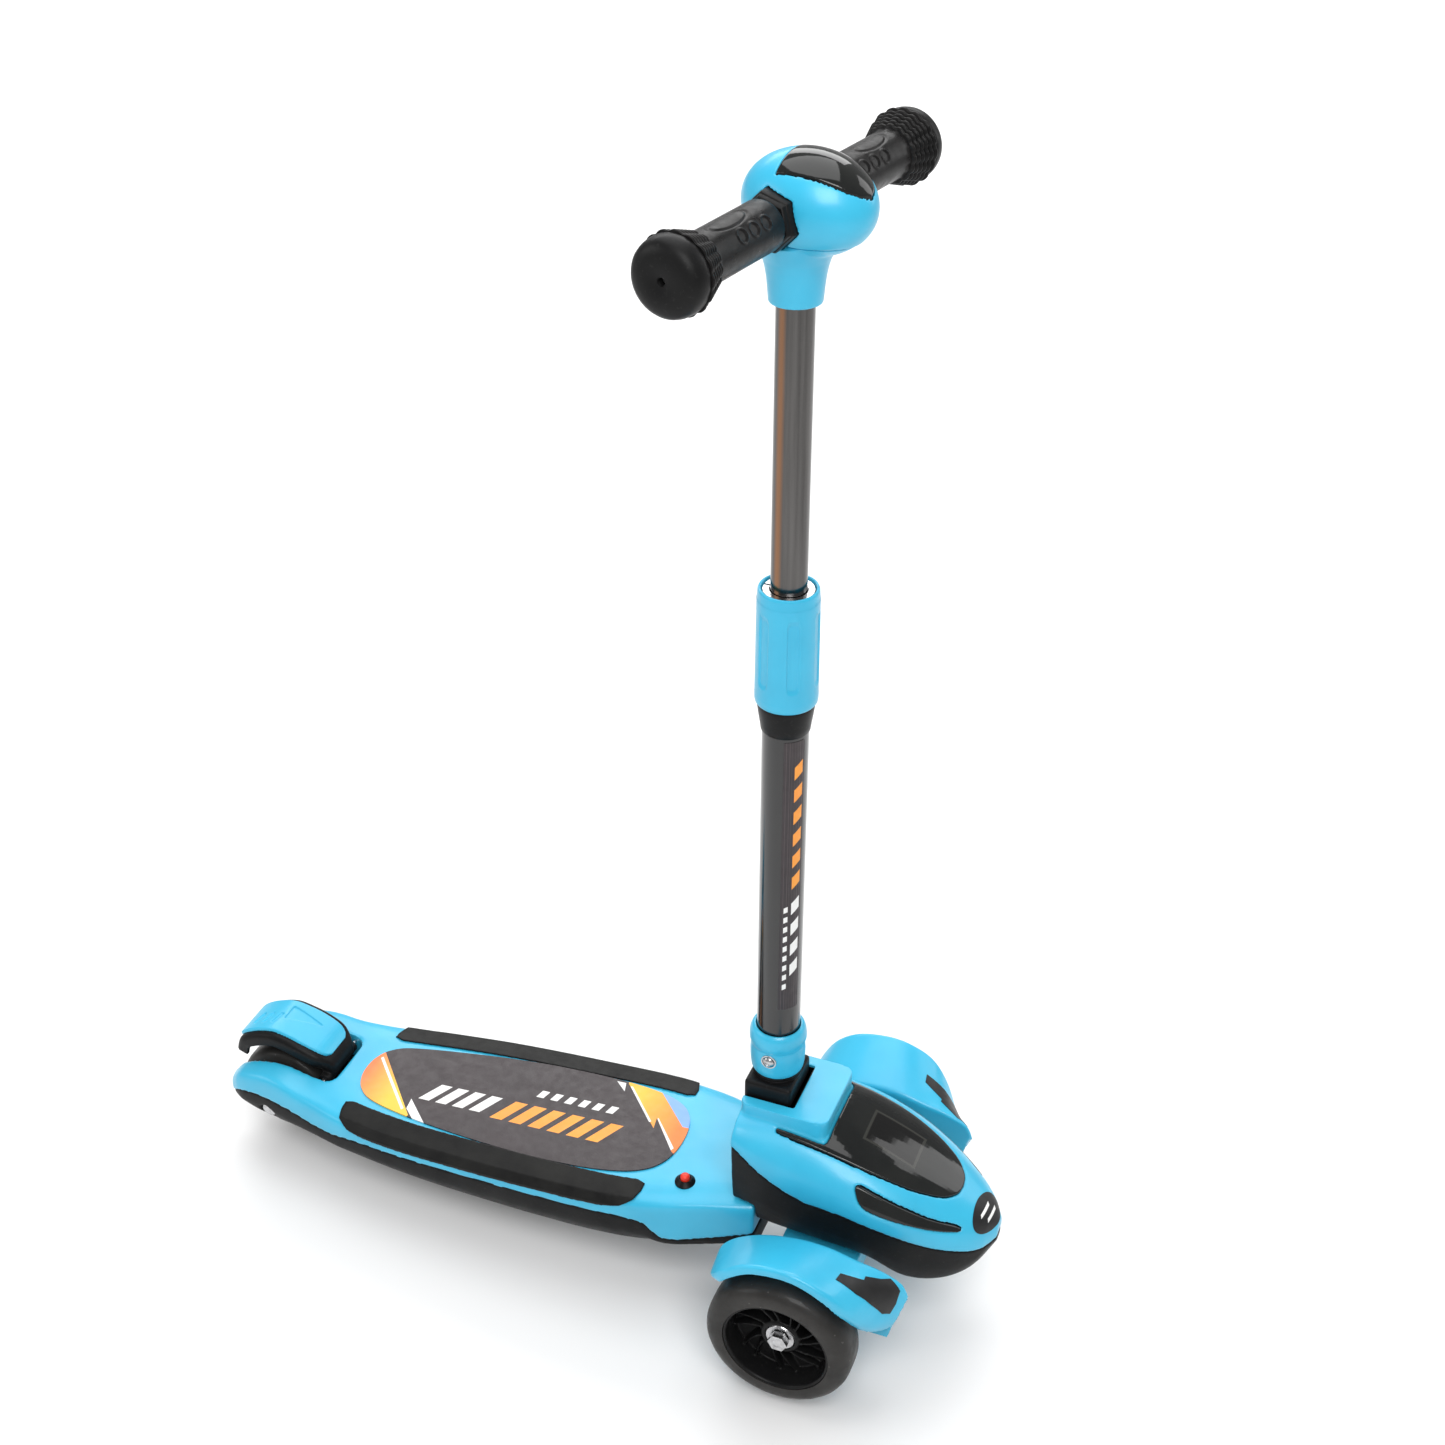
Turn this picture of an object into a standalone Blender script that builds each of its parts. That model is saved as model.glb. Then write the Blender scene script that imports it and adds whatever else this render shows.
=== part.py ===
"""A child's three-wheeled kick scooter with a folding, height-adjustable stem.

Metres, +Z up, +X towards the nose, +Y to the rider's left. The origin is the centre of the
bounding box's base, so the wheels stand on z = 0. The handlebar is left turned a little to the
right, as a rider leaves it, and the steering truck is straight.
"""

import math

import bmesh
import bpy
from mathutils import Matrix, Vector

# Driving dimensions -------------------------------------------------------------------------
GAP = 0.0003  # between pieces that touch
WALL = 0.003  # moulded walls

FRONT_AXLE_X = 0.1933
FRONT_WHEEL_R = 0.055
FRONT_WHEEL_IN_Y = 0.0975
FRONT_WHEEL_OUT_Y = 0.1315
FRONT_HUB_R = 0.0400

REAR_AXLE_X = -0.2797
REAR_WHEEL_R = 0.040
REAR_WHEEL_HALF = 0.0170
REAR_HUB_R = 0.0282

AXLE_R = 0.004
BEARING_R = 0.0110
BEARING_BORE_R = 0.0043
BEARING_WIDTH = 0.007

DECK_FRONT_X = 0.1452
NOTCH_FRONT_X = -0.2240
NOTCH_HALF = 0.0280
WHEEL_SLOT_HALF = 0.0205
WHEEL_SLOT_FRONT_X = -0.2345
NOSE_X = 0.3197
LENS_DEPTH = 0.0020
RECESS = 0.0005  # round each lens

STEM_X = 0.1452
FOLD_Z = 0.150
BLOCK_HALF_Y = 0.0220
BLOCK_HALF_X = 0.0180
BLOCK_TOP_Z = 0.2000
COLLAR_TOP_Z = 0.2390
COLLAR_BOLT_Z = 0.2170
LOWER_TUBE_R = 0.0156
LOWER_TUBE_BORE_R = 0.0135
LOWER_TUBE_FOOT_Z = 0.1700
LOWER_TUBE_TOP_Z = 0.5250
SLEEVE_FOOT_Z = 0.5139
SLEEVE_TOP_Z = 0.5973
SLEEVE_R = 0.0209
UPPER_TUBE_R = 0.01175
UPPER_TUBE_FOOT_Z = 0.4300
UPPER_TUBE_TOP_Z = 0.8290
NECK_FOOT_Z = 0.7854
BAR_Z = 0.8411
BAR_TUBE_R = 0.0110
BAR_YAW = math.radians(-10.8)
BAR_HALF = 0.1397
GRIP_R = 0.0152
GRIP_INNER_Y = 0.0385
BELL_Y = 0.1045  # where a grip starts to widen towards its end

HEAD_MIDDLE = Vector((0.0075, 0.0, 0.8445))  # the head is drawn in the bar's own frame
HEAD_HALVES = Vector((0.0410, 0.0312, 0.0302))
HEAD_SEAM_Z = 0.8260
HEX_R = 0.0178
HEX_TURN = math.radians(15.0)

FOOT_Z = 0.1830  # top of the square frame round the stem's foot
FRAME_HALF_Y = 0.0330
FRAME_REAR_X = 0.1273
FRAME_FRONT_X = 0.1945
SLOT_HALF_Y = 0.0240
SLOT_FRONT_X = 0.1667
SLOT_FLOOR_Z = 0.1262

TRUCK_PIVOT = Vector((0.1830, 0.0, 0.0600))
TRUCK_TILT = math.radians(40.0)  # the steering pin leans its top towards the nose
TRUCK_LEAN = Vector((math.sin(TRUCK_TILT), 0.0, math.cos(TRUCK_TILT)))
FENDER_IN_Y = 0.0830

BRAKE_PIVOT_X = -0.2350
BRAKE_PIVOT_Z = 0.0720
BRAKE_HALF = 0.0250
BRAKE_PIN_R = 0.0020
SHOE_FOOT_Z = 0.0868

BUTTON_X = 0.0880
BUTTON_Y = -0.0400

ROUND = 20  # sides of tubes and hubs
FINE = 24  # sides of the tyres
HUB_WINDOWS = 7
SIDES = (("left", 1), ("right", -1))
FAR = 0.34  # beyond the object, for cutters

DECK_SECTIONS = (
    -0.3150, -0.3050, -0.2920, -0.2750, -0.2550, -0.2350, -0.2150, -0.2035, -0.1985, -0.1850,
    -0.1600, -0.1300, -0.0950, -0.0550, -0.0150, 0.0250, 0.0470, 0.0545, 0.0595, 0.0700, 0.0780,
    0.0950, 0.1200, 0.1452,
)
# Stations along the deck and the nose: (x, value), joined by a smooth curve
DECK_HALF_WIDTH = (
    (-0.3150, 0.0370), (-0.3050, 0.0430), (-0.2750, 0.0475), (-0.2350, 0.0535), (-0.2000, 0.0605),
    (-0.1500, 0.0670), (-0.1000, 0.0705), (-0.0300, 0.0725), (0.0400, 0.0720), (0.0800, 0.0660),
    (0.1100, 0.0575), (0.1452, 0.0470),
)
DECK_TOP = (
    (-0.3150, 0.0640), (-0.3050, 0.0745), (-0.2920, 0.0800), (-0.2750, 0.0835), (-0.2600, 0.0832),
    (-0.2400, 0.0790), (-0.2000, 0.0757), (-0.1500, 0.0775), (-0.1000, 0.0812), (0.0000, 0.0880),
    (0.0540, 0.0925), (0.1000, 0.0965), (0.1452, 0.0980),
)
DECK_SEAM = (
    (-0.3150, 0.0480), (-0.3030, 0.0560), (-0.2850, 0.0592), (-0.2560, 0.0575), (-0.2300, 0.0532),
    (-0.2100, 0.0535), (-0.1900, 0.0570), (-0.1500, 0.0607), (-0.1000, 0.0645), (0.0000, 0.0700),
    (0.0620, 0.0710), (0.0780, 0.0570), (0.1100, 0.0600), (0.1452, 0.0680),
)
DECK_BOTTOM = (
    (-0.3150, 0.0370), (-0.3050, 0.0310), (-0.2900, 0.0270), (-0.2000, 0.0280), (-0.0800, 0.0320),
    (0.0000, 0.0350), (0.0800, 0.0410), (0.1452, 0.0460),
)
NOSE_HALF_WIDTH = (
    (0.1273, 0.0500), (0.1530, 0.0535), (0.1830, 0.0560), (0.2130, 0.0570), (0.2430, 0.0545),
    (0.2730, 0.0465), (0.2980, 0.0340), (0.3120, 0.0210), (0.3197, 0.0070),
)
NOSE_TOP = (
    (0.1273, 0.1760), (0.1530, 0.1765), (0.1830, 0.1735), (0.2130, 0.1660), (0.2430, 0.1550),
    (0.2730, 0.1400), (0.2980, 0.1240), (0.3120, 0.1135), (0.3197, 0.1050),
)
NOSE_SEAM = (
    (0.1273, 0.1560), (0.1530, 0.1380), (0.1830, 0.1265), (0.2130, 0.1240), (0.2430, 0.1160),
    (0.2730, 0.1050), (0.2980, 0.0965), (0.3120, 0.0925), (0.3197, 0.0935),
)
NOSE_BOTTOM = (
    (0.1273, 0.0810), (0.1480, 0.0800), (0.2130, 0.0790), (0.2350, 0.0750), (0.2600, 0.0620),
    (0.2850, 0.0610), (0.3050, 0.0700), (0.3197, 0.0880),
)
STRIP_SHORT = 0.62  # legs of its section that a side strip has at its very ends
MAT_HALF_WIDTH = (
    (-0.2040, 0.0190), (-0.1900, 0.0300), (-0.1500, 0.0400), (-0.1000, 0.0465), (-0.0500, 0.0500),
    (0.0000, 0.0495), (0.0350, 0.0440), (0.0570, 0.0380), (0.0660, 0.0290),
)
BRAKE_PATH = (
    (-0.2275, 0.0740), (-0.2300, 0.0850), (-0.2390, 0.0945), (-0.2540, 0.1010), (-0.2680, 0.1050),
    (-0.2820, 0.1065), (-0.2980, 0.1015), (-0.3110, 0.0930), (-0.3165, 0.0800),
)
# A front fender's outer and inner edges, in X from the axle and Z
FENDER_OUTER = (
    (-0.0560, 0.0930, 0.1150), (-0.0500, 0.1060, 0.1270), (-0.0400, 0.1190, 0.1305),
    (-0.0230, 0.1300, 0.1305), (0.0010, 0.1342, 0.1305), (0.0200, 0.1312, 0.1305),
    (0.0380, 0.1215, 0.1300), (0.0520, 0.1040, 0.1250), (0.0640, 0.0830, 0.1120),
    (0.0775, 0.0755, 0.0930),
)
FENDER_INNER = (
    (-0.0620, 0.0800), (-0.0575, 0.0925), (-0.0450, 0.1045), (-0.0240, 0.1150), (0.0010, 0.1205),
    (0.0230, 0.1205), (0.0440, 0.1160), (0.0620, 0.1130), (0.0780, 0.1065), (0.0845, 0.0960),
)


# Helpers ------------------------------------------------------------------------------------
def clear_scene():
    for obj in list(bpy.data.objects):
        bpy.data.objects.remove(obj)


def new_collection(name):
    found = bpy.data.collections.new(name)
    bpy.context.scene.collection.children.link(found)
    return found


def smooth_curve(stations, x):
    """The value at x of a smooth curve through the stations, flat beyond its ends."""
    if x <= stations[0][0]:
        return stations[0][1]
    if x >= stations[-1][0]:
        return stations[-1][1]
    last = len(stations) - 1
    i = max(k for k in range(last) if stations[k][0] <= x)
    (x0, v0), (x1, v1) = stations[i], stations[i + 1]

    def slope(k):
        low, high = stations[max(k - 1, 0)], stations[min(k + 1, last)]
        return (high[1] - low[1]) / (high[0] - low[0])

    span = x1 - x0
    t = (x - x0) / span
    a, b = slope(i) * span, slope(i + 1) * span
    return (
        v0 * (2 * t**3 - 3 * t**2 + 1)
        + a * (t**3 - 2 * t**2 + t)
        + v1 * (3 * t**2 - 2 * t**3)
        + b * (t**3 - t**2)
    )


def spaced(low, high, count):
    return [low + (high - low) * i / (count - 1) for i in range(count)]


def principled(name, colour, roughness, metallic=0.0, alpha=1.0):
    material = bpy.data.materials.new(name)
    material.use_nodes = True
    shader = material.node_tree.nodes["Principled BSDF"]
    shader.inputs["Base Color"].default_value = (*colour, 1.0)
    shader.inputs["Roughness"].default_value = roughness
    shader.inputs["Metallic"].default_value = metallic
    shader.inputs["Alpha"].default_value = alpha
    material.diffuse_color = (*colour, alpha)
    return material


def object_of(name, bm, material):
    """A part from a bmesh, or a hidden cutter when it has no material."""
    bmesh.ops.recalc_face_normals(bm, faces=bm.faces)
    mesh = bpy.data.meshes.new(name)
    bm.to_mesh(mesh)
    bm.free()
    obj = bpy.data.objects.new(name, mesh)
    if material is None:
        CUTTERS.objects.link(obj)
        obj.hide_render = True
        obj.display_type = "WIRE"
        return obj
    PARTS.objects.link(obj)
    mesh.materials.append(material)
    mesh.shade_smooth()
    mesh.set_sharp_from_angle(angle=math.radians(35))
    return obj


def loft(name, rings, material=None):
    """A solid through rings of equally many points, capped at both ends."""
    bm = bmesh.new()
    rows = [[bm.verts.new(point) for point in ring] for ring in rings]
    count = len(rows[0])
    for row, after in zip(rows, rows[1:]):
        for i in range(count):
            j = (i + 1) % count
            bm.faces.new((row[i], row[j], after[j], after[i]))
    bm.faces.new(rows[0])
    bm.faces.new(rows[-1])
    bmesh.ops.triangulate(bm, faces=bm.faces)  # its quads are bent, which Booleans don't take well
    return object_of(name, bm, material)


def block(name, low, high, material=None, bevel=0.0):
    bm = bmesh.new()
    size = [b - a for a, b in zip(low, high)]
    middle = [(a + b) / 2 for a, b in zip(low, high)]
    place = Matrix.Translation(middle) @ Matrix.Diagonal((*size, 1.0))
    bmesh.ops.create_cube(bm, size=1.0, matrix=place)
    obj = object_of(name, bm, material)
    if bevel:
        rounding = obj.modifiers.new("rounded edges", "BEVEL")
        rounding.width = bevel
        rounding.segments = 2
    return obj


def rod(name, start, end, radius, material=None, sides=16, end_radius=None):
    """A round, conical or prismatic rod between two points."""
    start, end = Vector(start), Vector(end)
    along = end - start
    turn = along.to_track_quat("Z", "X").to_matrix().to_4x4()
    bm = bmesh.new()
    bmesh.ops.create_cone(
        bm, cap_ends=True, segments=sides, radius1=radius,
        radius2=radius if end_radius is None else end_radius, depth=along.length,
        matrix=Matrix.Translation((start + end) / 2) @ turn,
    )
    return object_of(name, bm, material)


def turned(name, profile, material=None, axis="Z", at=(0.0, 0.0, 0.0), sides=ROUND):
    """A turned piece from a profile of (radius, height) points, about the Z or the Y axis.

    A profile that starts and ends on the axis is left open there, and any other one is a ring.
    """
    on_axis = profile[0][0] == 0 and profile[-1][0] == 0
    area = sum(
        a[0] * b[1] - b[0] * a[1] for a, b in zip(profile, [*profile[1:], profile[0]])
    )
    points = profile if area < 0 else profile[::-1]
    bm = bmesh.new()
    verts = [bm.verts.new((radius, 0.0, height)) for radius, height in points]
    for a, b in zip(verts, verts[1:]):
        bm.edges.new((a, b))
    if not on_axis:
        bm.edges.new((verts[-1], verts[0]))
    obj = object_of(name, bm, material)
    obj.location = at
    if axis == "Y":
        obj.rotation_euler = (-math.pi / 2, 0.0, 0.0)
    screw = obj.modifiers.new("turn", "SCREW")
    screw.steps = sides
    screw.render_steps = sides
    screw.use_merge_vertices = True
    screw.merge_threshold = 0.00001
    screw.use_smooth_shade = True
    return obj


def plate(name, outline, low, high, material=None, plane="XY"):
    """A flat piece with the outline given, from low to high along the plane's normal."""
    curve = bpy.data.curves.new(name, "CURVE")
    curve.dimensions = "2D"
    curve.fill_mode = "BOTH"
    curve.extrude = (high - low) / 2
    spline = curve.splines.new("POLY")
    spline.points.add(len(outline) - 1)
    for point, (u, v) in zip(spline.points, outline):
        point.co = (u, v, 0.0, 1.0)
    spline.use_cyclic_u = True
    flat = bpy.data.objects.new(name + "_outline", curve)
    bpy.context.scene.collection.objects.link(flat)
    if plane == "XZ":
        upright = Matrix.Rotation(math.pi / 2, 4, "X")
        flat.matrix_world = Matrix.Translation((0, (low + high) / 2, 0)) @ upright
    else:
        flat.matrix_world = Matrix.Translation((0, 0, (low + high) / 2))
    bpy.context.view_layer.update()
    graph = bpy.context.evaluated_depsgraph_get()
    bm = bmesh.new()
    bm.from_mesh(bpy.data.meshes.new_from_object(flat.evaluated_get(graph)))
    bm.transform(flat.matrix_world)
    bpy.data.objects.remove(flat)
    bmesh.ops.remove_doubles(bm, verts=bm.verts, dist=0.00001)
    return object_of(name, bm, material)


def rounded(corners, radius, steps=4):
    """The outline through the corners, each one replaced by an arc."""
    outline = []
    for i, corner in enumerate(corners):
        here = Vector(corner)
        before = (Vector(corners[i - 1]) - here).normalized()
        after = (Vector(corners[(i + 1) % len(corners)]) - here).normalized()
        reach = radius / math.tan(before.angle(after) / 2)
        start, end = here + before * reach, here + after * reach
        for k in range(steps + 1):
            t = k / steps
            outline.append(tuple(start * (1 - t) ** 2 + here * 2 * t * (1 - t) + end * t**2))
    return outline


def grown(outline, by):
    """The outline with each corner moved out, so that its sides move out by about as much."""
    area = sum(a[0] * b[1] - b[0] * a[1] for a, b in zip(outline, [*outline[1:], outline[0]]))
    turn = math.copysign(1.0, area)
    moved = []
    for i, corner in enumerate(outline):
        here = Vector(corner)
        before = (here - Vector(outline[i - 1])).normalized()
        after = (Vector(outline[(i + 1) % len(outline)]) - here).normalized()
        out = Vector((before.y + after.y, -before.x - after.x)).normalized() * turn
        spread = max(out.dot(Vector((after.y, -after.x)) * turn), 0.4)
        moved.append(tuple(here + out * by / spread))
    return moved


def change(obj, other, operation):
    boolean = obj.modifiers.new(operation.lower() + " " + other.name, "BOOLEAN")
    boolean.operation = operation
    boolean.object = other
    return obj


def cut(obj, *cutters):
    for cutter in cutters:
        change(obj, cutter, "DIFFERENCE")
    return obj


def join(obj, *others):
    for other in others:
        change(obj, other, "UNION")
    return obj


def pivot(name, at, yaw=0.0):
    empty = bpy.data.objects.new(name, None)
    empty.location = at
    empty.rotation_euler = (0.0, 0.0, yaw)
    empty.empty_display_size = 0.02
    PARTS.objects.link(empty)
    bpy.context.view_layer.update()
    return empty


def carry(empty, parts):
    """Parents the parts to the empty and leaves them where they are."""
    for part in parts:
        part.parent = empty
        part.matrix_parent_inverse = empty.matrix_world.inverted()


def place_on(empty, parts):
    """Parents parts drawn in the empty's own frame."""
    for part in parts:
        part.parent = empty


# Deck ---------------------------------------------------------------------------------------
def deck_top_ring(x, inset=0.0, drop=0.0):
    """Half of the crowned top with its sloping shoulder, mirrored. A drop lowers its foot."""
    half = smooth_curve(DECK_HALF_WIDTH, x) - inset
    top = smooth_curve(DECK_TOP, x) - inset
    foot = smooth_curve(DECK_SEAM, x) - drop
    shoulder = top - 0.0075
    side = [
        (half, foot), (half, (foot + shoulder) / 2), (half - 0.0005, shoulder),
        (half - 0.0045, shoulder + 0.0045), (half - 0.0180, top - 0.0006), (half * 0.3, top),
    ]
    return [(x, y, z) for y, z in side] + [(x, -y, z) for y, z in reversed(side)]


def hull_ring(x, inset=0.0, raise_top=0.0):
    half = smooth_curve(DECK_HALF_WIDTH, x) - 0.0015 - inset
    top = smooth_curve(DECK_SEAM, x) - GAP + raise_top
    bottom = smooth_curve(DECK_BOTTOM, x) + inset
    side = [
        (half, top), (half - 0.0015, (top + bottom) / 2), (half - 0.0085, bottom + 0.0040),
        (half - 0.0135, bottom),
    ]
    return [(x, y, z) for y, z in side] + [(x, -y, z) for y, z in reversed(side)]


def strip_ring(x, side, ends):
    """A strip's section: it lies on the deck's edge and, away from its ends, wraps over it."""
    half = smooth_curve(DECK_HALF_WIDTH, x)
    top = smooth_curve(DECK_TOP, x)
    inner = half - 0.0220
    base = [
        (inner, top + 0.0004), (half - 0.0042, top - 0.0019), (half + 0.0004, top - 0.0069),
        (half + 0.0006, top - 0.0090),
    ]
    skin = [
        (inner, top + 0.0013), (half - 0.0036, top - 0.0008), (half + 0.0014, top - 0.0062),
        (half + 0.0016, top - 0.0090),
    ]
    from_end = min(x - ends[0], ends[1] - x)
    wrap = STRIP_SHORT + (3 - STRIP_SHORT) * min(max(from_end, 0.0) / 0.028, 1.0) ** 0.7
    stops = [0.0, min(1.0, wrap - 0.06), min(2.0, wrap - 0.03), wrap]
    lower = [walked(base, stop) for stop in stops]
    upper = [walked(skin, stop) for stop in stops]
    return [(x, side * y, z) for y, z in lower + upper[::-1]]


def walked(path, stop):
    """The point of a path at a number of legs from its start."""
    leg = min(int(stop), len(path) - 2)
    (y0, z0), (y1, z1) = path[leg], path[leg + 1]
    return y0 + (y1 - y0) * (stop - leg), z0 + (z1 - z0) * (stop - leg)


def mat_ring(x):
    half = smooth_curve(MAT_HALF_WIDTH, x)
    base = smooth_curve(DECK_TOP, x) + 0.0008
    return [(x, half, base), (x, half, base + 0.0010), (x, -half, base + 0.0010), (x, -half, base)]


def make_deck(blue, black, rubber, print_film):
    deck_top = loft("deck_top", [deck_top_ring(x) for x in DECK_SECTIONS], blue)
    hollow_x = spaced(-0.2150, DECK_FRONT_X - WALL, 8)
    hollow = loft("deck_top_hollow", [deck_top_ring(x, WALL, 0.010) for x in hollow_x])
    notch_corners = [
        (-FAR, NOTCH_HALF), (-FAR, -NOTCH_HALF),
        (NOTCH_FRONT_X, -NOTCH_HALF), (NOTCH_FRONT_X, NOTCH_HALF),
    ]
    notch = plate("brake_notch", rounded(notch_corners, 0.012), 0.0, 0.2)
    pin_hole = rod(
        "brake_pin_hole", (BRAKE_PIVOT_X, -0.0360, BRAKE_PIVOT_Z),
        (BRAKE_PIVOT_X, 0.0360, BRAKE_PIVOT_Z), BRAKE_PIN_R + 0.0004,
    )
    button_hole = rod(
        "button_hole", (BUTTON_X, BUTTON_Y, 0.07), (BUTTON_X, BUTTON_Y, 0.12), 0.0046
    )
    cut(deck_top, hollow, notch, pin_hole, button_hole)

    deck_hull = loft("deck_hull", [hull_ring(x) for x in DECK_SECTIONS], black)
    hull_hollow = loft("hull_hollow", [hull_ring(x, WALL, 0.010) for x in hollow_x])
    slot = block(
        "wheel_slot", (-FAR, -WHEEL_SLOT_HALF, 0.0), (WHEEL_SLOT_FRONT_X, WHEEL_SLOT_HALF, 0.1)
    )
    axle_hole = rod(
        "rear_axle_hole", (REAR_AXLE_X, -0.06, REAR_WHEEL_R), (REAR_AXLE_X, 0.06, REAR_WHEEL_R),
        AXLE_R + GAP,
    )
    counterbores = [
        rod(
            "rear_counterbore_" + side, (REAR_AXLE_X, sign * 0.0365, REAR_WHEEL_R),
            (REAR_AXLE_X, sign * 0.0600, REAR_WHEEL_R), 0.0070,
        )
        for side, sign in SIDES
    ]
    hatch_hole = block("hatch_hole", (-0.0353, -0.0303, 0.02), (0.0353, 0.0303, 0.045))
    cut(deck_hull, hull_hollow, slot, axle_hole, *counterbores, hatch_hole)

    mat_x = [-0.2040, *(x for x in DECK_SECTIONS if -0.2040 < x < 0.0660), 0.0660]
    loft("deck_mat", [mat_ring(x) for x in mat_x], print_film)
    strip_ends = (-0.2040, 0.0600)
    strip_x = [x for x in DECK_SECTIONS if strip_ends[0] < x < strip_ends[1]]
    for side, sign in SIDES:
        loft("side_strip_" + side, [strip_ring(x, sign, strip_ends) for x in strip_x], rubber)


def make_deck_electrics(black, red, cell_green):
    """The light's push button, and the batteries behind a hatch under the deck."""
    deck_z = smooth_curve(DECK_TOP, BUTTON_X)
    foot = deck_z + GAP
    turned(
        "button_bezel",
        [
            (0.0042, foot), (0.0042, foot + 0.0034), (0.0052, foot + 0.0034),
            (0.0078, foot + 0.0004), (0.0078, foot),
        ],
        black, at=(BUTTON_X, BUTTON_Y, 0.0), sides=16,
    )
    button = turned(
        "light_button",
        [
            (0.0, deck_z + 0.0068), (0.0024, deck_z + 0.0064), (0.0036, deck_z + 0.0052),
            (0.0036, deck_z - 0.0060), (0.0, deck_z - 0.0060),
        ],
        red, sides=16,
    )
    place_on(pivot("button_axis", (BUTTON_X, BUTTON_Y, 0.0)), [button])
    block(
        "battery_pack", (-0.0280, -0.0240, 0.0420), (0.0280, 0.0240, 0.0560), cell_green, 0.0020
    )
    block("battery_hatch", (-0.0350, -0.0300, 0.0362), (0.0350, 0.0300, 0.0392), black)


# Tail ---------------------------------------------------------------------------------------
def with_normals(path):
    """Each point of an arched path in the XZ plane, with its outward normal."""
    points = [Vector((x, 0.0, z)) for x, z in path]
    middle = points[0].lerp(points[-1], 0.5)
    found = []
    for i, point in enumerate(points):
        along = points[min(i + 1, len(points) - 1)] - points[max(i - 1, 0)]
        normal = Vector((-along.z, 0.0, along.x)).normalized()
        found.append((point, normal if normal.dot(point - middle) > 0 else -normal))
    return found


def arched(name, path, section, material=None):
    """A solid along the path, whose section is a list of (y, distance out from the path)."""
    rings = [
        [tuple(point + normal * out + Vector((0.0, y, 0.0))) for y, out in section]
        for point, normal in path
    ]
    return loft(name, rings, material)


def channel_section(low_y, high_y, wall, low_lip, high_lip):
    """A cover with rounded edges, both of its sides turned down."""
    edge = 0.0030
    return [
        (low_y, -low_lip), (low_y, -edge), (low_y + edge, 0.0), (high_y - edge, 0.0),
        (high_y, -edge), (high_y, -high_lip), (high_y - wall, -high_lip),
        (high_y - wall, -wall - 0.001), (low_y + wall, -wall - 0.001), (low_y + wall, -low_lip),
    ]


def make_brake(black, blue, steel):
    """The foot brake: a cover over the rear wheel with a shoe under it, hinged at its front."""
    path = with_normals(BRAKE_PATH)
    cover = arched(
        "brake_cover", path,
        channel_section(-BRAKE_HALF, BRAKE_HALF, 0.0035, 0.0110, 0.0110), black,
    )
    pivot_at = Vector((BRAKE_PIVOT_X, 0.0, BRAKE_PIVOT_Z))

    def across(name, half, radius, material=None, sides=16):
        reach = Vector((0.0, half, 0.0))
        return rod(name, pivot_at - reach, pivot_at + reach, radius, material, sides)

    join(
        cover,
        block("brake_shoe", (-0.2920, -0.0130, SHOE_FOOT_Z), (-0.2660, 0.0130, 0.1035)),
        block(
            "brake_knuckle", pivot_at + Vector((-0.0025, -0.0230, -0.0015)),
            pivot_at + Vector((0.0050, 0.0230, 0.0080)),
        ),
        across("brake_barrel", 0.0230, 0.0050),
    )
    cut(
        cover,
        across("brake_bore", 0.0400, BRAKE_PIN_R + 0.0004),
        block(
            "brake_spring_room", pivot_at + Vector((-0.0080, -0.0062, -0.0120)),
            pivot_at + Vector((0.0044, 0.0062, 0.0070)),
        ),
    )
    tread_section = [(-0.0195, GAP), (-0.0180, 0.0022), (0.0180, 0.0022), (0.0195, GAP)]
    tread = arched("brake_tread", path[1:-1], tread_section, blue)
    across("brake_pin", 0.0340, BRAKE_PIN_R, steel, 12)
    turned(
        "brake_spring",
        [(0.0023, -0.0055), (0.0041, -0.0055), (0.0041, 0.0055), (0.0023, 0.0055)],
        steel, "Y", pivot_at, 16,
    )
    carry(pivot("brake_axis", pivot_at), [cover, tread])


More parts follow.
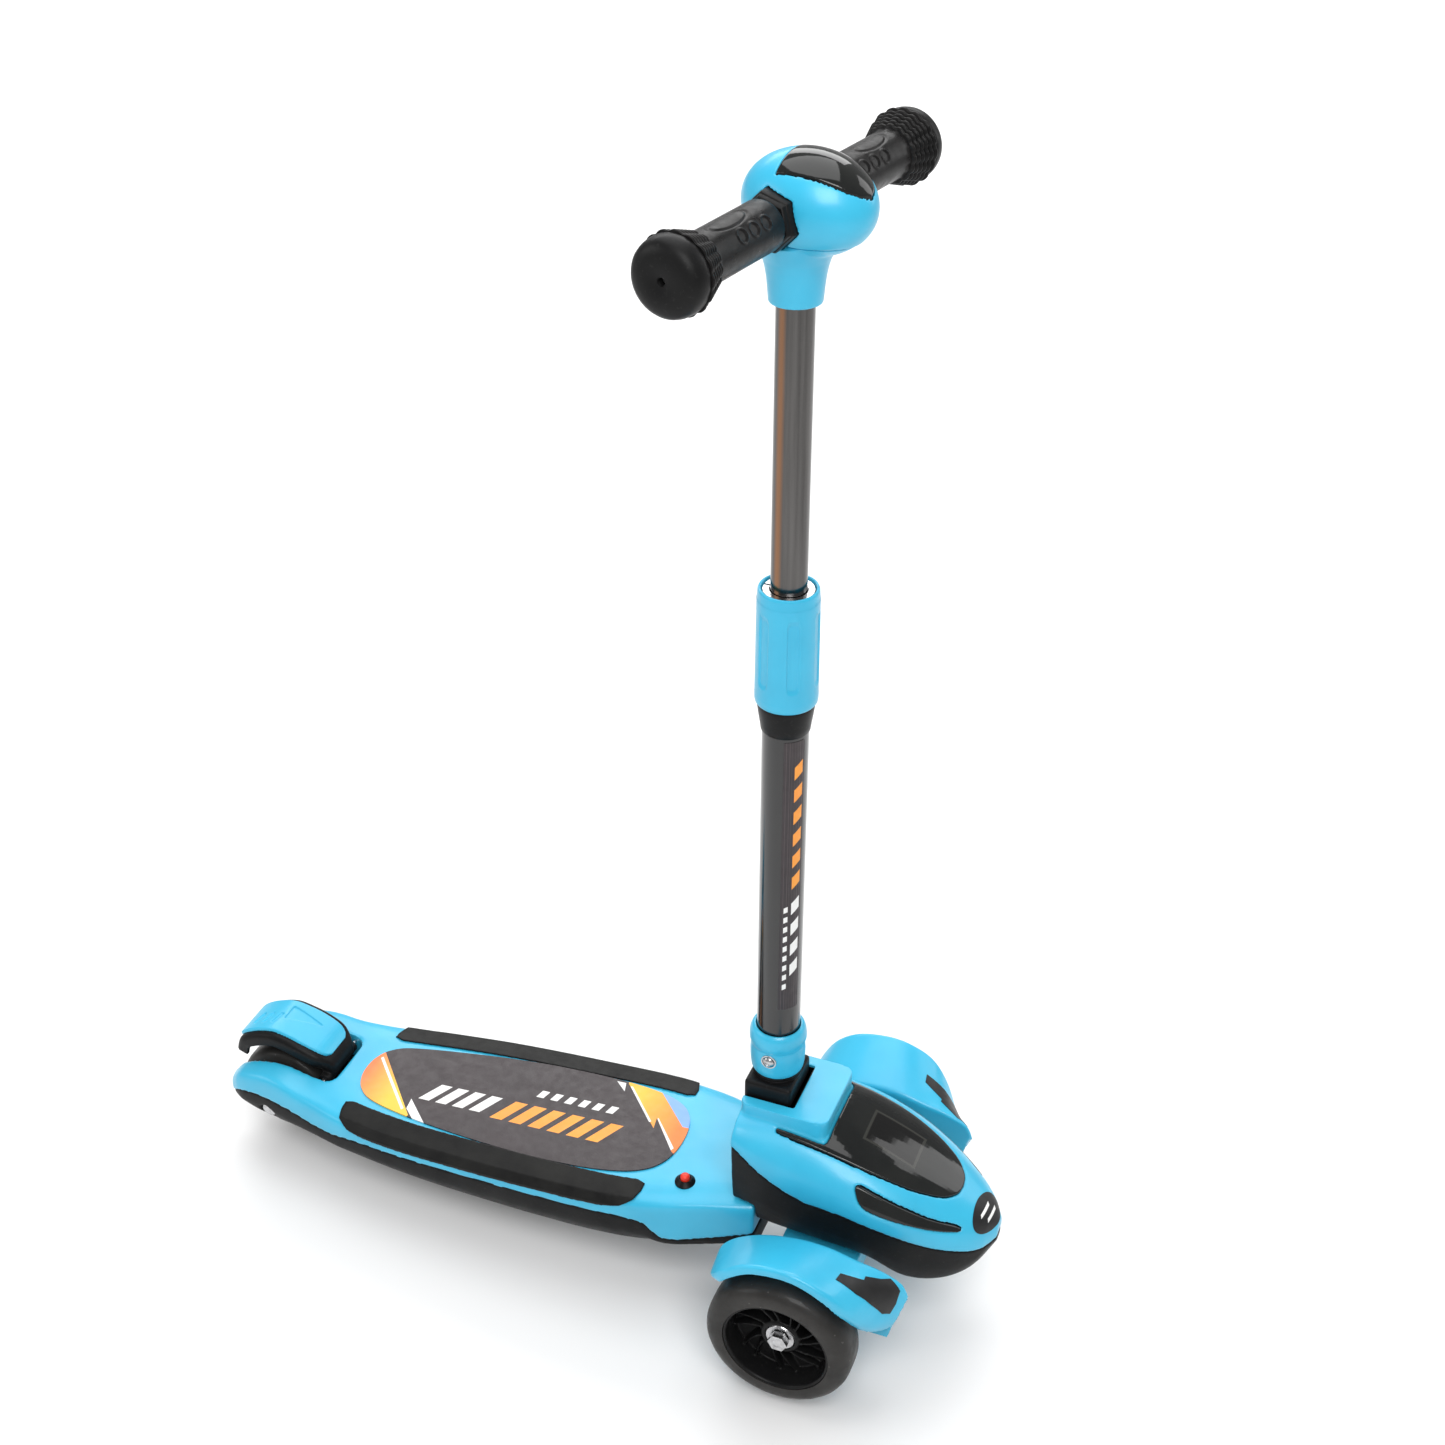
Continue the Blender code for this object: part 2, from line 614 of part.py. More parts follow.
def make_rear_wheel(tyre_rubber, black, steel):
    rim, half = REAR_HUB_R, REAR_WHEEL_HALF
    seat = BEARING_R + GAP
    lip = half - 0.0005 - BEARING_WIDTH - GAP
    tyre = turned(
        "rear_tyre",
        [
            (rim + GAP, half), (rim + GAP, -half), (0.0350, -half), (0.0386, -half + 0.0025),
            (REAR_WHEEL_R, -half + 0.0065), (REAR_WHEEL_R, half - 0.0065),
            (0.0386, half - 0.0025), (0.0350, half),
        ],
        tyre_rubber, "Y", sides=FINE,
    )
    hub = turned(
        "rear_hub",
        [
            (rim, half - 0.0005), (rim, -half + 0.0005), (0.0245, -half + 0.0005), (0.0245, -0.0030),
            (0.0150, -0.0030), (0.0150, -half + 0.0005), (seat, -half + 0.0005), (seat, -lip),
            (0.0065, -lip), (0.0065, lip), (seat, lip), (seat, half - 0.0005),
            (0.0150, half - 0.0005), (0.0150, 0.0030), (0.0245, 0.0030), (0.0245, half - 0.0005),
        ],
        black, "Y", sides=FINE,
    )
    bearings = [
        make_bearing("rear_bearing_" + side, sign * (lip + GAP + BEARING_WIDTH / 2), steel)
        for side, sign in SIDES
    ]
    place_on(pivot("rear_wheel_axis", (REAR_AXLE_X, 0.0, REAR_WHEEL_R)), [tyre, hub, *bearings])
    axle = rod(
        "rear_axle", (REAR_AXLE_X, -0.0380, REAR_WHEEL_R), (REAR_AXLE_X, 0.0380, REAR_WHEEL_R),
        AXLE_R, steel,
    )
    join(
        axle,
        *(
            rod(
                "rear_axle_head_" + side, (REAR_AXLE_X, sign * 0.0370, REAR_WHEEL_R),
                (REAR_AXLE_X, sign * 0.0400, REAR_WHEEL_R), 0.0062,
            )
            for side, sign in SIDES
        ),
    )


def make_bearing(name, y, steel):
    """A ball bearing as one ring."""
    half = BEARING_WIDTH / 2
    profile = [
        (BEARING_BORE_R, half), (BEARING_BORE_R, -half), (BEARING_R, -half), (BEARING_R, half),
    ]
    return turned(name, profile, steel, "Y", (0.0, y, 0.0), 16)


# Nose ---------------------------------------------------------------------------------------
def nose_ring(x, inset=0.0, drop=0.0):
    """An arch from the seam over the top, with its shoulders fuller than an ellipse's."""
    half = smooth_curve(NOSE_HALF_WIDTH, x) - inset
    low = smooth_curve(NOSE_SEAM, x) - drop
    high = smooth_curve(NOSE_TOP, x) - inset
    ring = []
    for i in range(13):
        turn = math.pi * i / 12
        across = math.copysign(abs(math.cos(turn)) ** 0.75, math.cos(turn))
        ring.append((x, half * across, low + (high - low) * math.sin(turn) ** 0.85))
    return ring


def nose_loft(name, inset=0.0, drop=0.0, ends=(FRAME_REAR_X, NOSE_X), material=None):
    stations = [x for x, _ in NOSE_TOP if ends[0] < x < ends[1]]
    rings = [nose_ring(x, inset, drop) for x in (ends[0], *stations, ends[1])]
    return loft(name, rings, material)


def lower_nose_ring(x, inset=0.0, raise_top=0.0):
    half = smooth_curve(NOSE_HALF_WIDTH, x) - 0.0012
    top = smooth_curve(NOSE_SEAM, x) - GAP + raise_top
    bottom = smooth_curve(NOSE_BOTTOM, x) + inset
    side = [
        (half - inset, top), (half * 0.95 - inset, top * 0.45 + bottom * 0.55),
        (half * 0.84 - inset, bottom + 0.004), (half * 0.72 - inset, bottom),
    ]
    return [(x, y, z) for y, z in side] + [(x, -y, z) for y, z in reversed(side)]


def window_outline():
    """The hood window in plan: a shield with two tails that flank the stem's frame."""
    nose = [(0.2905, 0.0), (0.2885, 0.0100), (0.2800, 0.0205), (0.2650, 0.0285), (0.2500, 0.0330)]
    flank = [
        (0.2300, 0.0365), (0.2100, 0.0378), (0.1850, 0.0378), (0.1650, 0.0374), (0.1570, 0.0362),
    ]
    inner_y = FRAME_HALF_Y + 0.0012
    half = nose + flank + [(0.1575, inner_y), (FRAME_FRONT_X + 0.0010, inner_y)]
    return half + [(x, -y) for x, y in reversed(half[1:])]


def headlight_outline():
    """A headlight lens seen from the side, in X and Z."""
    upper = [
        (0.2236, 0.1482), (0.2365, 0.1436), (0.2575, 0.1343), (0.2749, 0.1260), (0.2937, 0.1172),
    ]
    lower = [
        (0.2948, 0.1140), (0.2603, 0.1242), (0.2372, 0.1316), (0.2290, 0.1362), (0.2244, 0.1430),
    ]
    return upper + lower


def skin_piece(name, prism, depth):
    """The part of the nose's skin inside a prism, down to a depth."""
    change(prism, nose_loft(name + "_outer"), "INTERSECT")
    return cut(prism, nose_loft(name + "_inner", depth, 0.02))


def make_nose(blue, black, smoked, light_white, steel, rubber):
    upper = nose_loft("shell_upper", material=blue)
    frame_outline = rounded(
        [
            (FRAME_REAR_X, -FRAME_HALF_Y), (FRAME_FRONT_X, -FRAME_HALF_Y),
            (FRAME_FRONT_X, FRAME_HALF_Y), (FRAME_REAR_X, FRAME_HALF_Y),
        ],
        0.006,
    )
    frame = plate("stem_frame", frame_outline, 0.1600, FOOT_Z)
    stem_slot = block(
        "stem_slot", (0.11, -SLOT_HALF_Y, SLOT_FLOOR_Z), (SLOT_FRONT_X, SLOT_HALF_Y, 0.25)
    )
    hollow = nose_loft("shell_hollow", 0.0055, 0.02, (0.1960, 0.3110))
    fold_pin_hole = rod(
        "fold_pin_hole", (STEM_X, -0.0400, FOLD_Z), (STEM_X, 0.0400, FOLD_Z), 0.0043
    )
    window_room = plate("window_room", grown(window_outline(), RECESS), 0.08, 0.19)
    cut(window_room, nose_loft("window_room_floor", LENS_DEPTH + 0.0004, 0.02))
    rooms = [window_room]
    for side, sign in SIDES:
        low, high = sorted((sign * 0.02, sign * 0.08))
        room = plate(
            "headlight_room_" + side, grown(headlight_outline(), RECESS), low, high, plane="XZ"
        )
        rooms.append(cut(room, nose_loft("headlight_floor_" + side, LENS_DEPTH + 0.0004, 0.02)))
        lens = plate("headlight_" + side, headlight_outline(), low, high, smoked, plane="XZ")
        skin_piece("headlight_" + side, lens, LENS_DEPTH)
    join(upper, frame)
    cut(upper, hollow, stem_slot, fold_pin_hole, *rooms)
    window = plate("hood_window", window_outline(), 0.08, 0.19, smoked)
    skin_piece("hood_window", window, LENS_DEPTH)

    lower = loft("shell_lower", [lower_nose_ring(x) for x, _ in NOSE_TOP], black)
    hollow_x = spaced(0.1510, 0.3050, 8)
    lower_hollow = loft("lower_hollow", [lower_nose_ring(x, WALL, 0.01) for x in hollow_x])
    over_deck = block("over_deck", (0.10, -0.07, 0.05), (DECK_FRONT_X + 0.0006, 0.07, 0.0992))
    boss = along_lean("steer_boss", 0.0205, 0.0400, 0.0100)
    boss_bore = along_lean("steer_boss_bore", 0.0100, 0.0500, 0.0043)
    truck_room = along_lean("truck_room", 0.0, 0.0204, 0.0142)
    cut(lower, lower_hollow, over_deck, stem_slot, truck_room)
    join(lower, boss)
    cut(lower, boss_bore)
    block("light_board", (0.2180, -0.0150, 0.1320), (0.2560, 0.0150, 0.1336), light_white)
    along_lean("steer_pin", -0.0170, 0.0390, 0.0040, steel)
    bush = turned(
        "steer_bush", [(0.0045, 0.0158), (0.0090, 0.0158), (0.0090, 0.0201), (0.0045, 0.0201)],
        rubber, at=TRUCK_PIVOT,
    )
    bush.rotation_euler = (0.0, TRUCK_TILT, 0.0)
    rod("fold_pin", (STEM_X, -0.0370, FOLD_Z), (STEM_X, 0.0370, FOLD_Z), 0.0040, steel)


# Steering truck and front wheels ------------------------------------------------------------
def along_lean(name, low, high, radius, material=None):
    """A rod on the steering axis, between two distances from the truck's pivot."""
    return rod(
        name, TRUCK_PIVOT + TRUCK_LEAN * low, TRUCK_PIVOT + TRUCK_LEAN * high, radius, material,
        ROUND,
    )


def front_axle_rod(name, sign, low, high, radius, material=None, sides=16):
    """A rod on the front wheels' axis, between two distances from the middle."""
    return rod(
        name, (FRONT_AXLE_X, sign * low, FRONT_WHEEL_R), (FRONT_AXLE_X, sign * high, FRONT_WHEEL_R),
        radius, material, sides,
    )


def fender_ring(inner, outer, reach, sign):
    """A fender's section between a point of its inner edge and one of its outer edge, which
    is at reach."""
    (inner_at, inner_normal), (outer_at, outer_normal) = inner, outer
    ring = []
    for y, out in channel_section(FENDER_IN_Y, reach, WALL, 0.0120, 0.0080):
        t = (y - FENDER_IN_Y) / (reach - FENDER_IN_Y)
        normal = inner_normal.lerp(outer_normal, t).normalized()
        point = inner_at.lerp(outer_at, t) + normal * out
        ring.append((point.x, sign * y, point.z))
    return ring


def make_truck(blue, steel):
    beam = block(
        "truck_beam", (FRONT_AXLE_X - 0.0280, -0.0824, 0.0460),
        (FRONT_AXLE_X + 0.0330, 0.0824, 0.0680), blue, 0.005,
    )
    join(beam, along_lean("truck_boss", -0.0150, 0.0155, 0.0130))
    cut(
        beam,
        along_lean("truck_pin_bore", -0.0500, 0.0500, 0.0043),
        along_lean("bush_room", 0.0155, 0.0500, 0.0130),
        *(front_axle_rod("axle_hole_" + side, sign, 0.0550, 0.0900, 0.0043) for side, sign in SIDES),
    )
    outer = with_normals([(FRONT_AXLE_X + x, z) for x, z, _ in FENDER_OUTER])
    inner = with_normals([(FRONT_AXLE_X + x, z) for x, z in FENDER_INNER])
    reaches = [reach for _, _, reach in FENDER_OUTER]
    skirt_outline = [(p.x - n.x * 0.004, p.z - n.z * 0.004) for p, n in inner]
    skirt_outline += [(FRONT_AXLE_X + 0.0700, 0.0480), (FRONT_AXLE_X - 0.0350, 0.0420)]
    pieces = [beam]
    for side, sign in SIDES:
        rings = [fender_ring(a, b, y, sign) for a, b, y in zip(inner, outer, reaches)]
        fender = loft("fender_" + side, rings, blue)
        low, high = sorted((sign * FENDER_IN_Y, sign * (FENDER_IN_Y + WALL)))
        join(fender, plate("skirt_" + side, skirt_outline, low, high, plane="XZ"))
        cut(fender, front_axle_rod("skirt_hole_" + side, sign, 0.0750, 0.0950, 0.0046))
        axle = front_axle_rod("front_axle_" + side, sign, 0.0560, 0.1250, AXLE_R, steel)
        nut = front_axle_rod("axle_nut_" + side, sign, 0.1205, 0.1262, 0.0075, sides=6)
        pieces += [fender, join(axle, nut)]
    axis = pivot("steer_axis", TRUCK_PIVOT)
    carry(axis, pieces)
    return axis


def make_front_wheel(side, sign, truck_axis, tyre_rubber, black, steel):
    low, high, rim = FRONT_WHEEL_IN_Y, FRONT_WHEEL_OUT_Y, FRONT_HUB_R
    centre = (low + high) / 2
    seat = BEARING_R + GAP

    def from_centre(profile):
        return [(radius, sign * (y - centre)) for radius, y in profile]

    tyre = turned(
        "front_tyre_" + side,
        from_centre(
            [
                (rim + GAP, high), (rim + GAP, low), (0.0470, low), (0.0520, low + 0.0030),
                (0.0545, low + 0.0080), (FRONT_WHEEL_R, low + 0.0130),
                (FRONT_WHEEL_R, high - 0.0130), (0.0545, high - 0.0080),
                (0.0520, high - 0.0030), (0.0470, high),
            ]
        ),
        tyre_rubber, "Y", sides=FINE,
    )
    hub = turned(
        "front_hub_" + side,
        from_centre(
            [
                (rim, 0.1308), (rim, 0.0982), (0.0368, 0.0982), (0.0368, 0.1100), (0.0150, 0.1050),
                (0.0150, low), (seat, low), (seat, 0.1057), (0.0065, 0.1057), (0.0065, 0.1122),
                (seat, 0.1122), (seat, 0.1200), (0.0150, 0.1200), (0.0150, 0.1110),
                (0.0368, 0.1175), (0.0368, 0.1308),
            ]
        ),
        black, "Y", sides=FINE,
    )
    for i in range(HUB_WINDOWS):
        turn = 2 * math.pi * i / HUB_WINDOWS
        spot = Vector((0.0260 * math.cos(turn), 0.0, 0.0260 * math.sin(turn)))
        reach = Vector((0.0, 0.03, 0.0))
        window = rod(f"hub_window_{side}_{i}", spot - reach, spot + reach, 0.0068, sides=6)
        window.parent = hub
        window.matrix_parent_inverse = Matrix.Rotation(math.pi / 2, 4, "X")
        cut(hub, window)
    bearings = [
        make_bearing("bearing_outer_" + side, sign * (0.1160 - centre), steel),
        make_bearing("bearing_inner_" + side, sign * (0.1018 - centre), steel),
    ]
    spin = pivot("front_wheel_axis_" + side, (FRONT_AXLE_X, sign * centre, FRONT_WHEEL_R))
    place_on(spin, [tyre, hub, *bearings])
    carry(truck_axis, [spin])


# Stem ---------------------------------------------------------------------------------------
def make_stem(blue, black, gloss_black, steel):
    rear = STEM_X - BLOCK_HALF_X
    base = block(
        "base_block", (rear, -BLOCK_HALF_Y, FOLD_Z),
        (STEM_X + BLOCK_HALF_X, BLOCK_HALF_Y, BLOCK_TOP_Z), black, 0.0025,
    )
    heel_reach = BLOCK_HALF_Y - 0.0003
    join(
        base,
        rod(
            "block_heel", (STEM_X, -heel_reach, FOLD_Z), (STEM_X, heel_reach, FOLD_Z),
            BLOCK_HALF_X - 0.0003, sides=ROUND,
        ),
    )
    cut(
        base,
        rod(
            "block_bore", (STEM_X, 0.0, LOWER_TUBE_FOOT_Z), (STEM_X, 0.0, 0.25),
            LOWER_TUBE_R + 0.0004, sides=ROUND,
        ),
        rod("block_pin_hole", (STEM_X, -0.04, FOLD_Z), (STEM_X, 0.04, FOLD_Z), 0.0044),
        block("release_pocket", (rear - 0.0060, -0.0083, 0.1577), (rear + 0.0100, 0.0083, 0.1668)),
    )
    release = block(
        "fold_release", (rear - 0.0040, -0.0080, 0.1580), (rear + 0.0065, 0.0080, 0.1665), black,
        0.001,
    )
    collar = turned(
        "collar",
        [
            (0.0160, 0.2380), (0.0166, COLLAR_TOP_Z), (0.0182, 0.2386), (0.0200, 0.2350),
            (0.0207, 0.2304), (0.0205, 0.2265), (0.0193, 0.2243), (0.0196, 0.2220),
            (0.0200, 0.2160), (0.0196, 0.2060), (0.0186, BLOCK_TOP_Z + GAP),
            (0.0160, BLOCK_TOP_Z + GAP),
        ],
        blue, at=(STEM_X, 0.0, 0.0),
    )

    def across(name, low, high, radius, material=None, sides=16):
        ends = (STEM_X, low, COLLAR_BOLT_Z), (STEM_X, high, COLLAR_BOLT_Z)
        return rod(name, *ends, radius, material, sides)

    bolt_hole = across("collar_bolt_hole", -0.0300, 0.0300, 0.0028)
    cut(collar, bolt_hole)
    bolt = across("collar_bolt", -0.0210, 0.0220, 0.0025, steel)
    join(
        bolt, across("bolt_head", -0.0222, -0.0203, 0.0043),
        across("bolt_nut", 0.0203, 0.0235, 0.0046, sides=6),
    )
    tube = turned(
        "lower_tube",
        [
            (LOWER_TUBE_BORE_R, LOWER_TUBE_TOP_Z), (LOWER_TUBE_R, LOWER_TUBE_TOP_Z),
            (LOWER_TUBE_R, LOWER_TUBE_FOOT_Z + GAP), (LOWER_TUBE_BORE_R, LOWER_TUBE_FOOT_Z + GAP),
        ],
        gloss_black, at=(STEM_X, 0.0, 0.0),
    )
    cut(tube, bolt_hole)
    ferrule = turned(
        "clamp_ferrule",
        [
            (0.0160, 0.4920), (0.0160, LOWER_TUBE_TOP_Z + 0.0004),
            (0.0153, LOWER_TUBE_TOP_Z + 0.0004), (0.0153, 0.5850), (0.0180, 0.5850),
            (0.0180, SLEEVE_FOOT_Z - 0.0001), (0.0190, SLEEVE_FOOT_Z - 0.0001), (0.0190, 0.5110),
            (0.0168, 0.4970), (0.0163, 0.4920),
        ],
        black, at=(STEM_X, 0.0, 0.0),
    )
    collet = turned(
        "collet",
        [
            (0.0124, 0.5958), (0.0168, 0.5958), (0.0168, 0.5886), (0.0149, 0.5880),
            (0.0149, 0.5560), (0.0124, 0.5560),
        ],
        black, at=(STEM_X, 0.0, 0.0),
    )
    cut(collet, block("collet_slit", (STEM_X - 0.03, -0.0008, 0.55), (STEM_X, 0.0008, 0.60)))
    sleeve = turned(
        "clamp_sleeve",
        [
            (0.0184, SLEEVE_FOOT_Z + GAP), (0.0184, 0.5865), (0.0173, 0.5872),
            (0.0173, SLEEVE_TOP_Z), (0.0188, SLEEVE_TOP_Z), (0.0197, 0.5955), (0.0203, 0.5850),
            (0.0207, 0.5300), (SLEEVE_R, 0.5200), (0.0206, 0.5155), (0.0200, SLEEVE_FOOT_Z + GAP),
        ],
        blue,
    )
    flutes = bmesh.new()
    size = Matrix.Diagonal((0.0050, 0.0085, 0.0520, 1.0))
    for i in range(6):
        spot = Matrix.Rotation(math.pi * i / 3, 4, "Z") @ Matrix.Translation((0.0225, 0.0, 0.5560))
        bmesh.ops.create_cube(flutes, size=1.0, matrix=spot @ size)
    flute_cutter = object_of("sleeve_flutes", flutes, None)
    sleeve_axis = pivot("clamp_axis", (STEM_X, 0.0, 0.0))
    place_on(sleeve_axis, [sleeve, flute_cutter])
    cut(sleeve, flute_cutter)
    fold_axis = pivot("fold_axis", (STEM_X, 0.0, FOLD_Z))
    carry(fold_axis, [base, release, collar, bolt, tube, ferrule, collet, sleeve_axis])
    return fold_axis


# Handlebar ----------------------------------------------------------------------------------
def egg(name, inset=0.0, material=None):
    bm = bmesh.new()
    size = HEAD_HALVES - Vector((inset, inset, inset))
    bmesh.ops.create_uvsphere(
        bm, u_segments=20, v_segments=10, radius=1.0,
        matrix=Matrix.Translation(HEAD_MIDDLE) @ Matrix.Diagonal((*size, 1.0)),
    )
    return object_of(name, bm, material)


def hexagon(name, sign, low, high, radius, material=None):
    """A hexagonal boss or its room round the bar, between two distances from the middle."""
    prism = rod(name, (0.0, sign * low, 0.0), (0.0, sign * high, 0.0), radius, material, 6)
    prism.location = (0.0, 0.0, BAR_Z)
    prism.rotation_euler = (0.0, HEX_TURN, 0.0)
    return prism


def head_window_outline():
    half = [(0.0460, 0.0), (0.0430, 0.0080), (0.0340, 0.0155), (0.0180, 0.0205), (-0.0020, 0.0215)]
    return half + [(x, -y) for x, y in reversed(half[1:])]


def make_handlebar(blue, black, grip_rubber, smoked, steel, chrome):
    tube = turned(
        "upper_tube",
        [
            (0.0103, UPPER_TUBE_TOP_Z), (UPPER_TUBE_R, UPPER_TUBE_TOP_Z),
            (UPPER_TUBE_R, UPPER_TUBE_FOOT_Z + 0.0018),
            (0.0129, UPPER_TUBE_FOOT_Z + 0.0016), (0.0129, UPPER_TUBE_FOOT_Z),
            (0.0103, UPPER_TUBE_FOOT_Z),
        ],
        chrome,
    )
    bar = turned(
        "handlebar_tube",
        [
            (0.0095, -0.1240), (BAR_TUBE_R, -0.1240), (BAR_TUBE_R, 0.1240), (0.0095, 0.1240),
        ],
        steel, "Y", (0.0, 0.0, BAR_Z),
    )
    bar_room = rod(
        "bar_room", (0.0, -0.05, BAR_Z), (0.0, 0.05, BAR_Z), BAR_TUBE_R + 0.0004, sides=ROUND
    )
    hex_rooms = [
        hexagon("hex_room_" + side, sign, 0.0212, 0.0500, HEX_R + 0.0004) for side, sign in SIDES
    ]
    upper = egg("head_upper", material=blue)
    below = block("below_seam", (-0.1, -0.1, 0.70), (0.1, 0.1, HEAD_SEAM_Z))
    window_room = plate("head_window_room", grown(head_window_outline(), RECESS), 0.8450, 0.90)
    cut(window_room, egg("head_window_floor", LENS_DEPTH + 0.0004))
    tube_room = rod(
        "tube_room", (0.0, 0.0, 0.75), (0.0, 0.0, UPPER_TUBE_TOP_Z + 0.0005),
        UPPER_TUBE_R + 0.0004, sides=ROUND,
    )
    cut(upper, egg("head_hollow", 0.0050), below, bar_room, *hex_rooms, window_room, tube_room)
    window = plate("head_window", head_window_outline(), 0.8455, 0.90, smoked)
    change(window, egg("head_window_outer"), "INTERSECT")
    cut(window, egg("head_window_inner", LENS_DEPTH))

    lower = egg("head_lower", material=blue)
    above = block("above_seam", (-0.1, -0.1, HEAD_SEAM_Z - GAP), (0.1, 0.1, 0.95))
    neck = turned(
        "neck",
        [
            (0.0, 0.8240), (0.0235, 0.8240), (0.0195, 0.8120), (0.0172, 0.8000),
            (0.0162, 0.7900), (0.0161, NECK_FOOT_Z), (0.0, NECK_FOOT_Z),
        ],
    )
    cut(join(lower, neck), above, tube_room, *hex_rooms)

    sides = []
    for side, sign in SIDES:
        collar = hexagon("hex_collar_" + side, sign, 0.0216, 0.0370, HEX_R, black)
        cut(collar, bar_room)
        grip_profile = [
            (0.0114, GRIP_INNER_Y), (0.0148, GRIP_INNER_Y), (GRIP_R, 0.0430), (GRIP_R, BELL_Y),
        ]
        for i in range(4):
            y = BELL_Y + 0.0015 + 0.0044 * i
            grip_profile += [(0.0168 + 0.0015 * i, y), (0.0192 + 0.0014 * i, y + 0.0026)]
        grip_profile += [(0.0237, 0.1230), (0.0237, 0.1250), (0.0114, 0.1250)]
        end_profile = [
            (0.0022, 0.1253), (0.0022, 0.1385), (0.0100, BAR_HALF), (0.0175, 0.1385),
            (0.0213, 0.1350), (0.0225, 0.1300), (0.0225, 0.1253),
        ]
        at = (0.0, 0.0, BAR_Z)
        grip = turned(
            "grip_" + side, [(r, sign * y) for r, y in grip_profile], grip_rubber, "Y", at
        )
        end = turned("grip_end_" + side, [(r, sign * y) for r, y in end_profile], black, "Y", at)
        sides += [collar, grip, end]
    return [tube, bar, upper, window, lower, *sides]


# Assembly -----------------------------------------------------------------------------------
def main():
    blue = principled("blue_plastic", (0.045, 0.42, 0.72), 0.35)
    black = principled("black_plastic", (0.015, 0.015, 0.016), 0.45)
    gloss_black = principled("gloss_black_paint", (0.008, 0.008, 0.009), 0.15)
    rubber = principled("black_rubber", (0.018, 0.018, 0.017), 0.6)
    tyre_rubber = principled("tyre", (0.03, 0.03, 0.032), 0.5)
    smoked = principled("smoked_lens", (0.012, 0.013, 0.013), 0.08, alpha=0.9)
    steel = principled("steel", (0.55, 0.55, 0.56), 0.3, 1.0)
    chrome = principled("dark_chrome", (0.33, 0.32, 0.32), 0.18, 1.0)
    red = principled("red_plastic", (0.75, 0.02, 0.01), 0.35)
    light_white = principled("light_board", (0.12, 0.14, 0.13), 0.4)
    cell_green = principled("battery_wrap", (0.05, 0.30, 0.10), 0.4)
    print_film = principled("printed_mat", (0.03, 0.026, 0.028), 0.4)

    make_deck(blue, black, rubber, print_film)
    make_deck_electrics(black, red, cell_green)
    make_brake(black, blue, steel)
    make_rear_wheel(tyre_rubber, black, steel)
    make_nose(blue, black, smoked, light_white, steel, rubber)
    truck_axis = make_truck(blue, steel)
    for side, sign in SIDES:
        make_front_wheel(side, sign, truck_axis, tyre_rubber, black, steel)
    fold_axis = make_stem(blue, black, gloss_black, steel)

    bush = turned(
        "guide_bush",
        [
            (0.0122, UPPER_TUBE_FOOT_Z + 0.0220), (0.0130, UPPER_TUBE_FOOT_Z + 0.0220),
            (0.0130, UPPER_TUBE_FOOT_Z + 0.0022), (0.0122, UPPER_TUBE_FOOT_Z + 0.0022),
        ],
        black, at=(STEM_X, 0.0, 0.0),
    )
    carry(fold_axis, [bush])
    bar_axis = pivot("handlebar_axis", (STEM_X, 0.0, 0.0), BAR_YAW)
    place_on(bar_axis, make_handlebar(blue, black, rubber, smoked, steel, chrome))
    for cutter in CUTTERS.objects:
        if cutter.name.startswith(BAR_HELPERS):
            cutter.parent = bar_axis
    carry(fold_axis, [bar_axis])


BAR_HELPERS = (
    "bar_room", "hex_room", "below_seam", "above_seam", "head_", "neck", "tube_room",
)

clear_scene()
PARTS = new_collection("kick_scooter")
CUTTERS = new_collection("cutters")
main()
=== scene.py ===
"""The looks of a child's three-wheeled kick scooter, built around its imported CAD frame.

Metres, in the frame's own axes: +Z up, +X towards the nose, +Y to the rider's left. Each visible
moulding is made again from the same stations as the CAD, with finer sections, soft edges and the
lines, recesses and prints that the solid leaves out.
"""

import math

import bmesh
import bpy
from mathutils import Matrix, Vector
from mathutils.bvhtree import BVHTree
from mathutils.geometry import delaunay_2d_cdt


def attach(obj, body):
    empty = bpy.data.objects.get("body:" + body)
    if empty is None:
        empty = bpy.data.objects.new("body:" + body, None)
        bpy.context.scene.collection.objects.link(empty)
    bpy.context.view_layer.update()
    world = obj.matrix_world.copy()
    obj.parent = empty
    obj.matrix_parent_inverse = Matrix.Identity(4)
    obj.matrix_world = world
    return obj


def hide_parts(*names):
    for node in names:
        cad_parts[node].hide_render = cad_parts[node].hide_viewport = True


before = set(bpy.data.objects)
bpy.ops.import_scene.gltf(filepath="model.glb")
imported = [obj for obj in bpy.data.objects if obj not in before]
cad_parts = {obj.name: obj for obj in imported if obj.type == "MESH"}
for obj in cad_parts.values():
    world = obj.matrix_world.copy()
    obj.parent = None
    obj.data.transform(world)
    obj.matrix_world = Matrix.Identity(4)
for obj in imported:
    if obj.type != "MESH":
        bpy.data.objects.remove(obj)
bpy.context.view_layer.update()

# Places and sizes shared with the CAD ---------------------------------------------------------
SIDES = (("left", 1), ("right", -1))
WALL = 0.003
GAP = 0.0003
STEM_X = 0.1452
FOLD_Z = 0.150
BLOCK_HALF = (0.0180, 0.0220)
BLOCK_TOP_Z = 0.2000
COLLAR_BOLT_Z = 0.2170
LOWER_TUBE_R = 0.0156
UPPER_TUBE_R = 0.01175
BAR_Z = 0.8411
BAR_YAW = math.radians(-10.8)
HEAD_MIDDLE = Vector((0.0075, 0.0, 0.8445))
HEAD_HALVES = Vector((0.0410, 0.0312, 0.0302))
HEAD_SEAM_Z = 0.8260
HEX_TURN = math.radians(15.0)
FRONT_AXLE = (0.1933, 0.1145, 0.055)
REAR_AXLE = (-0.2797, 0.0, 0.040)
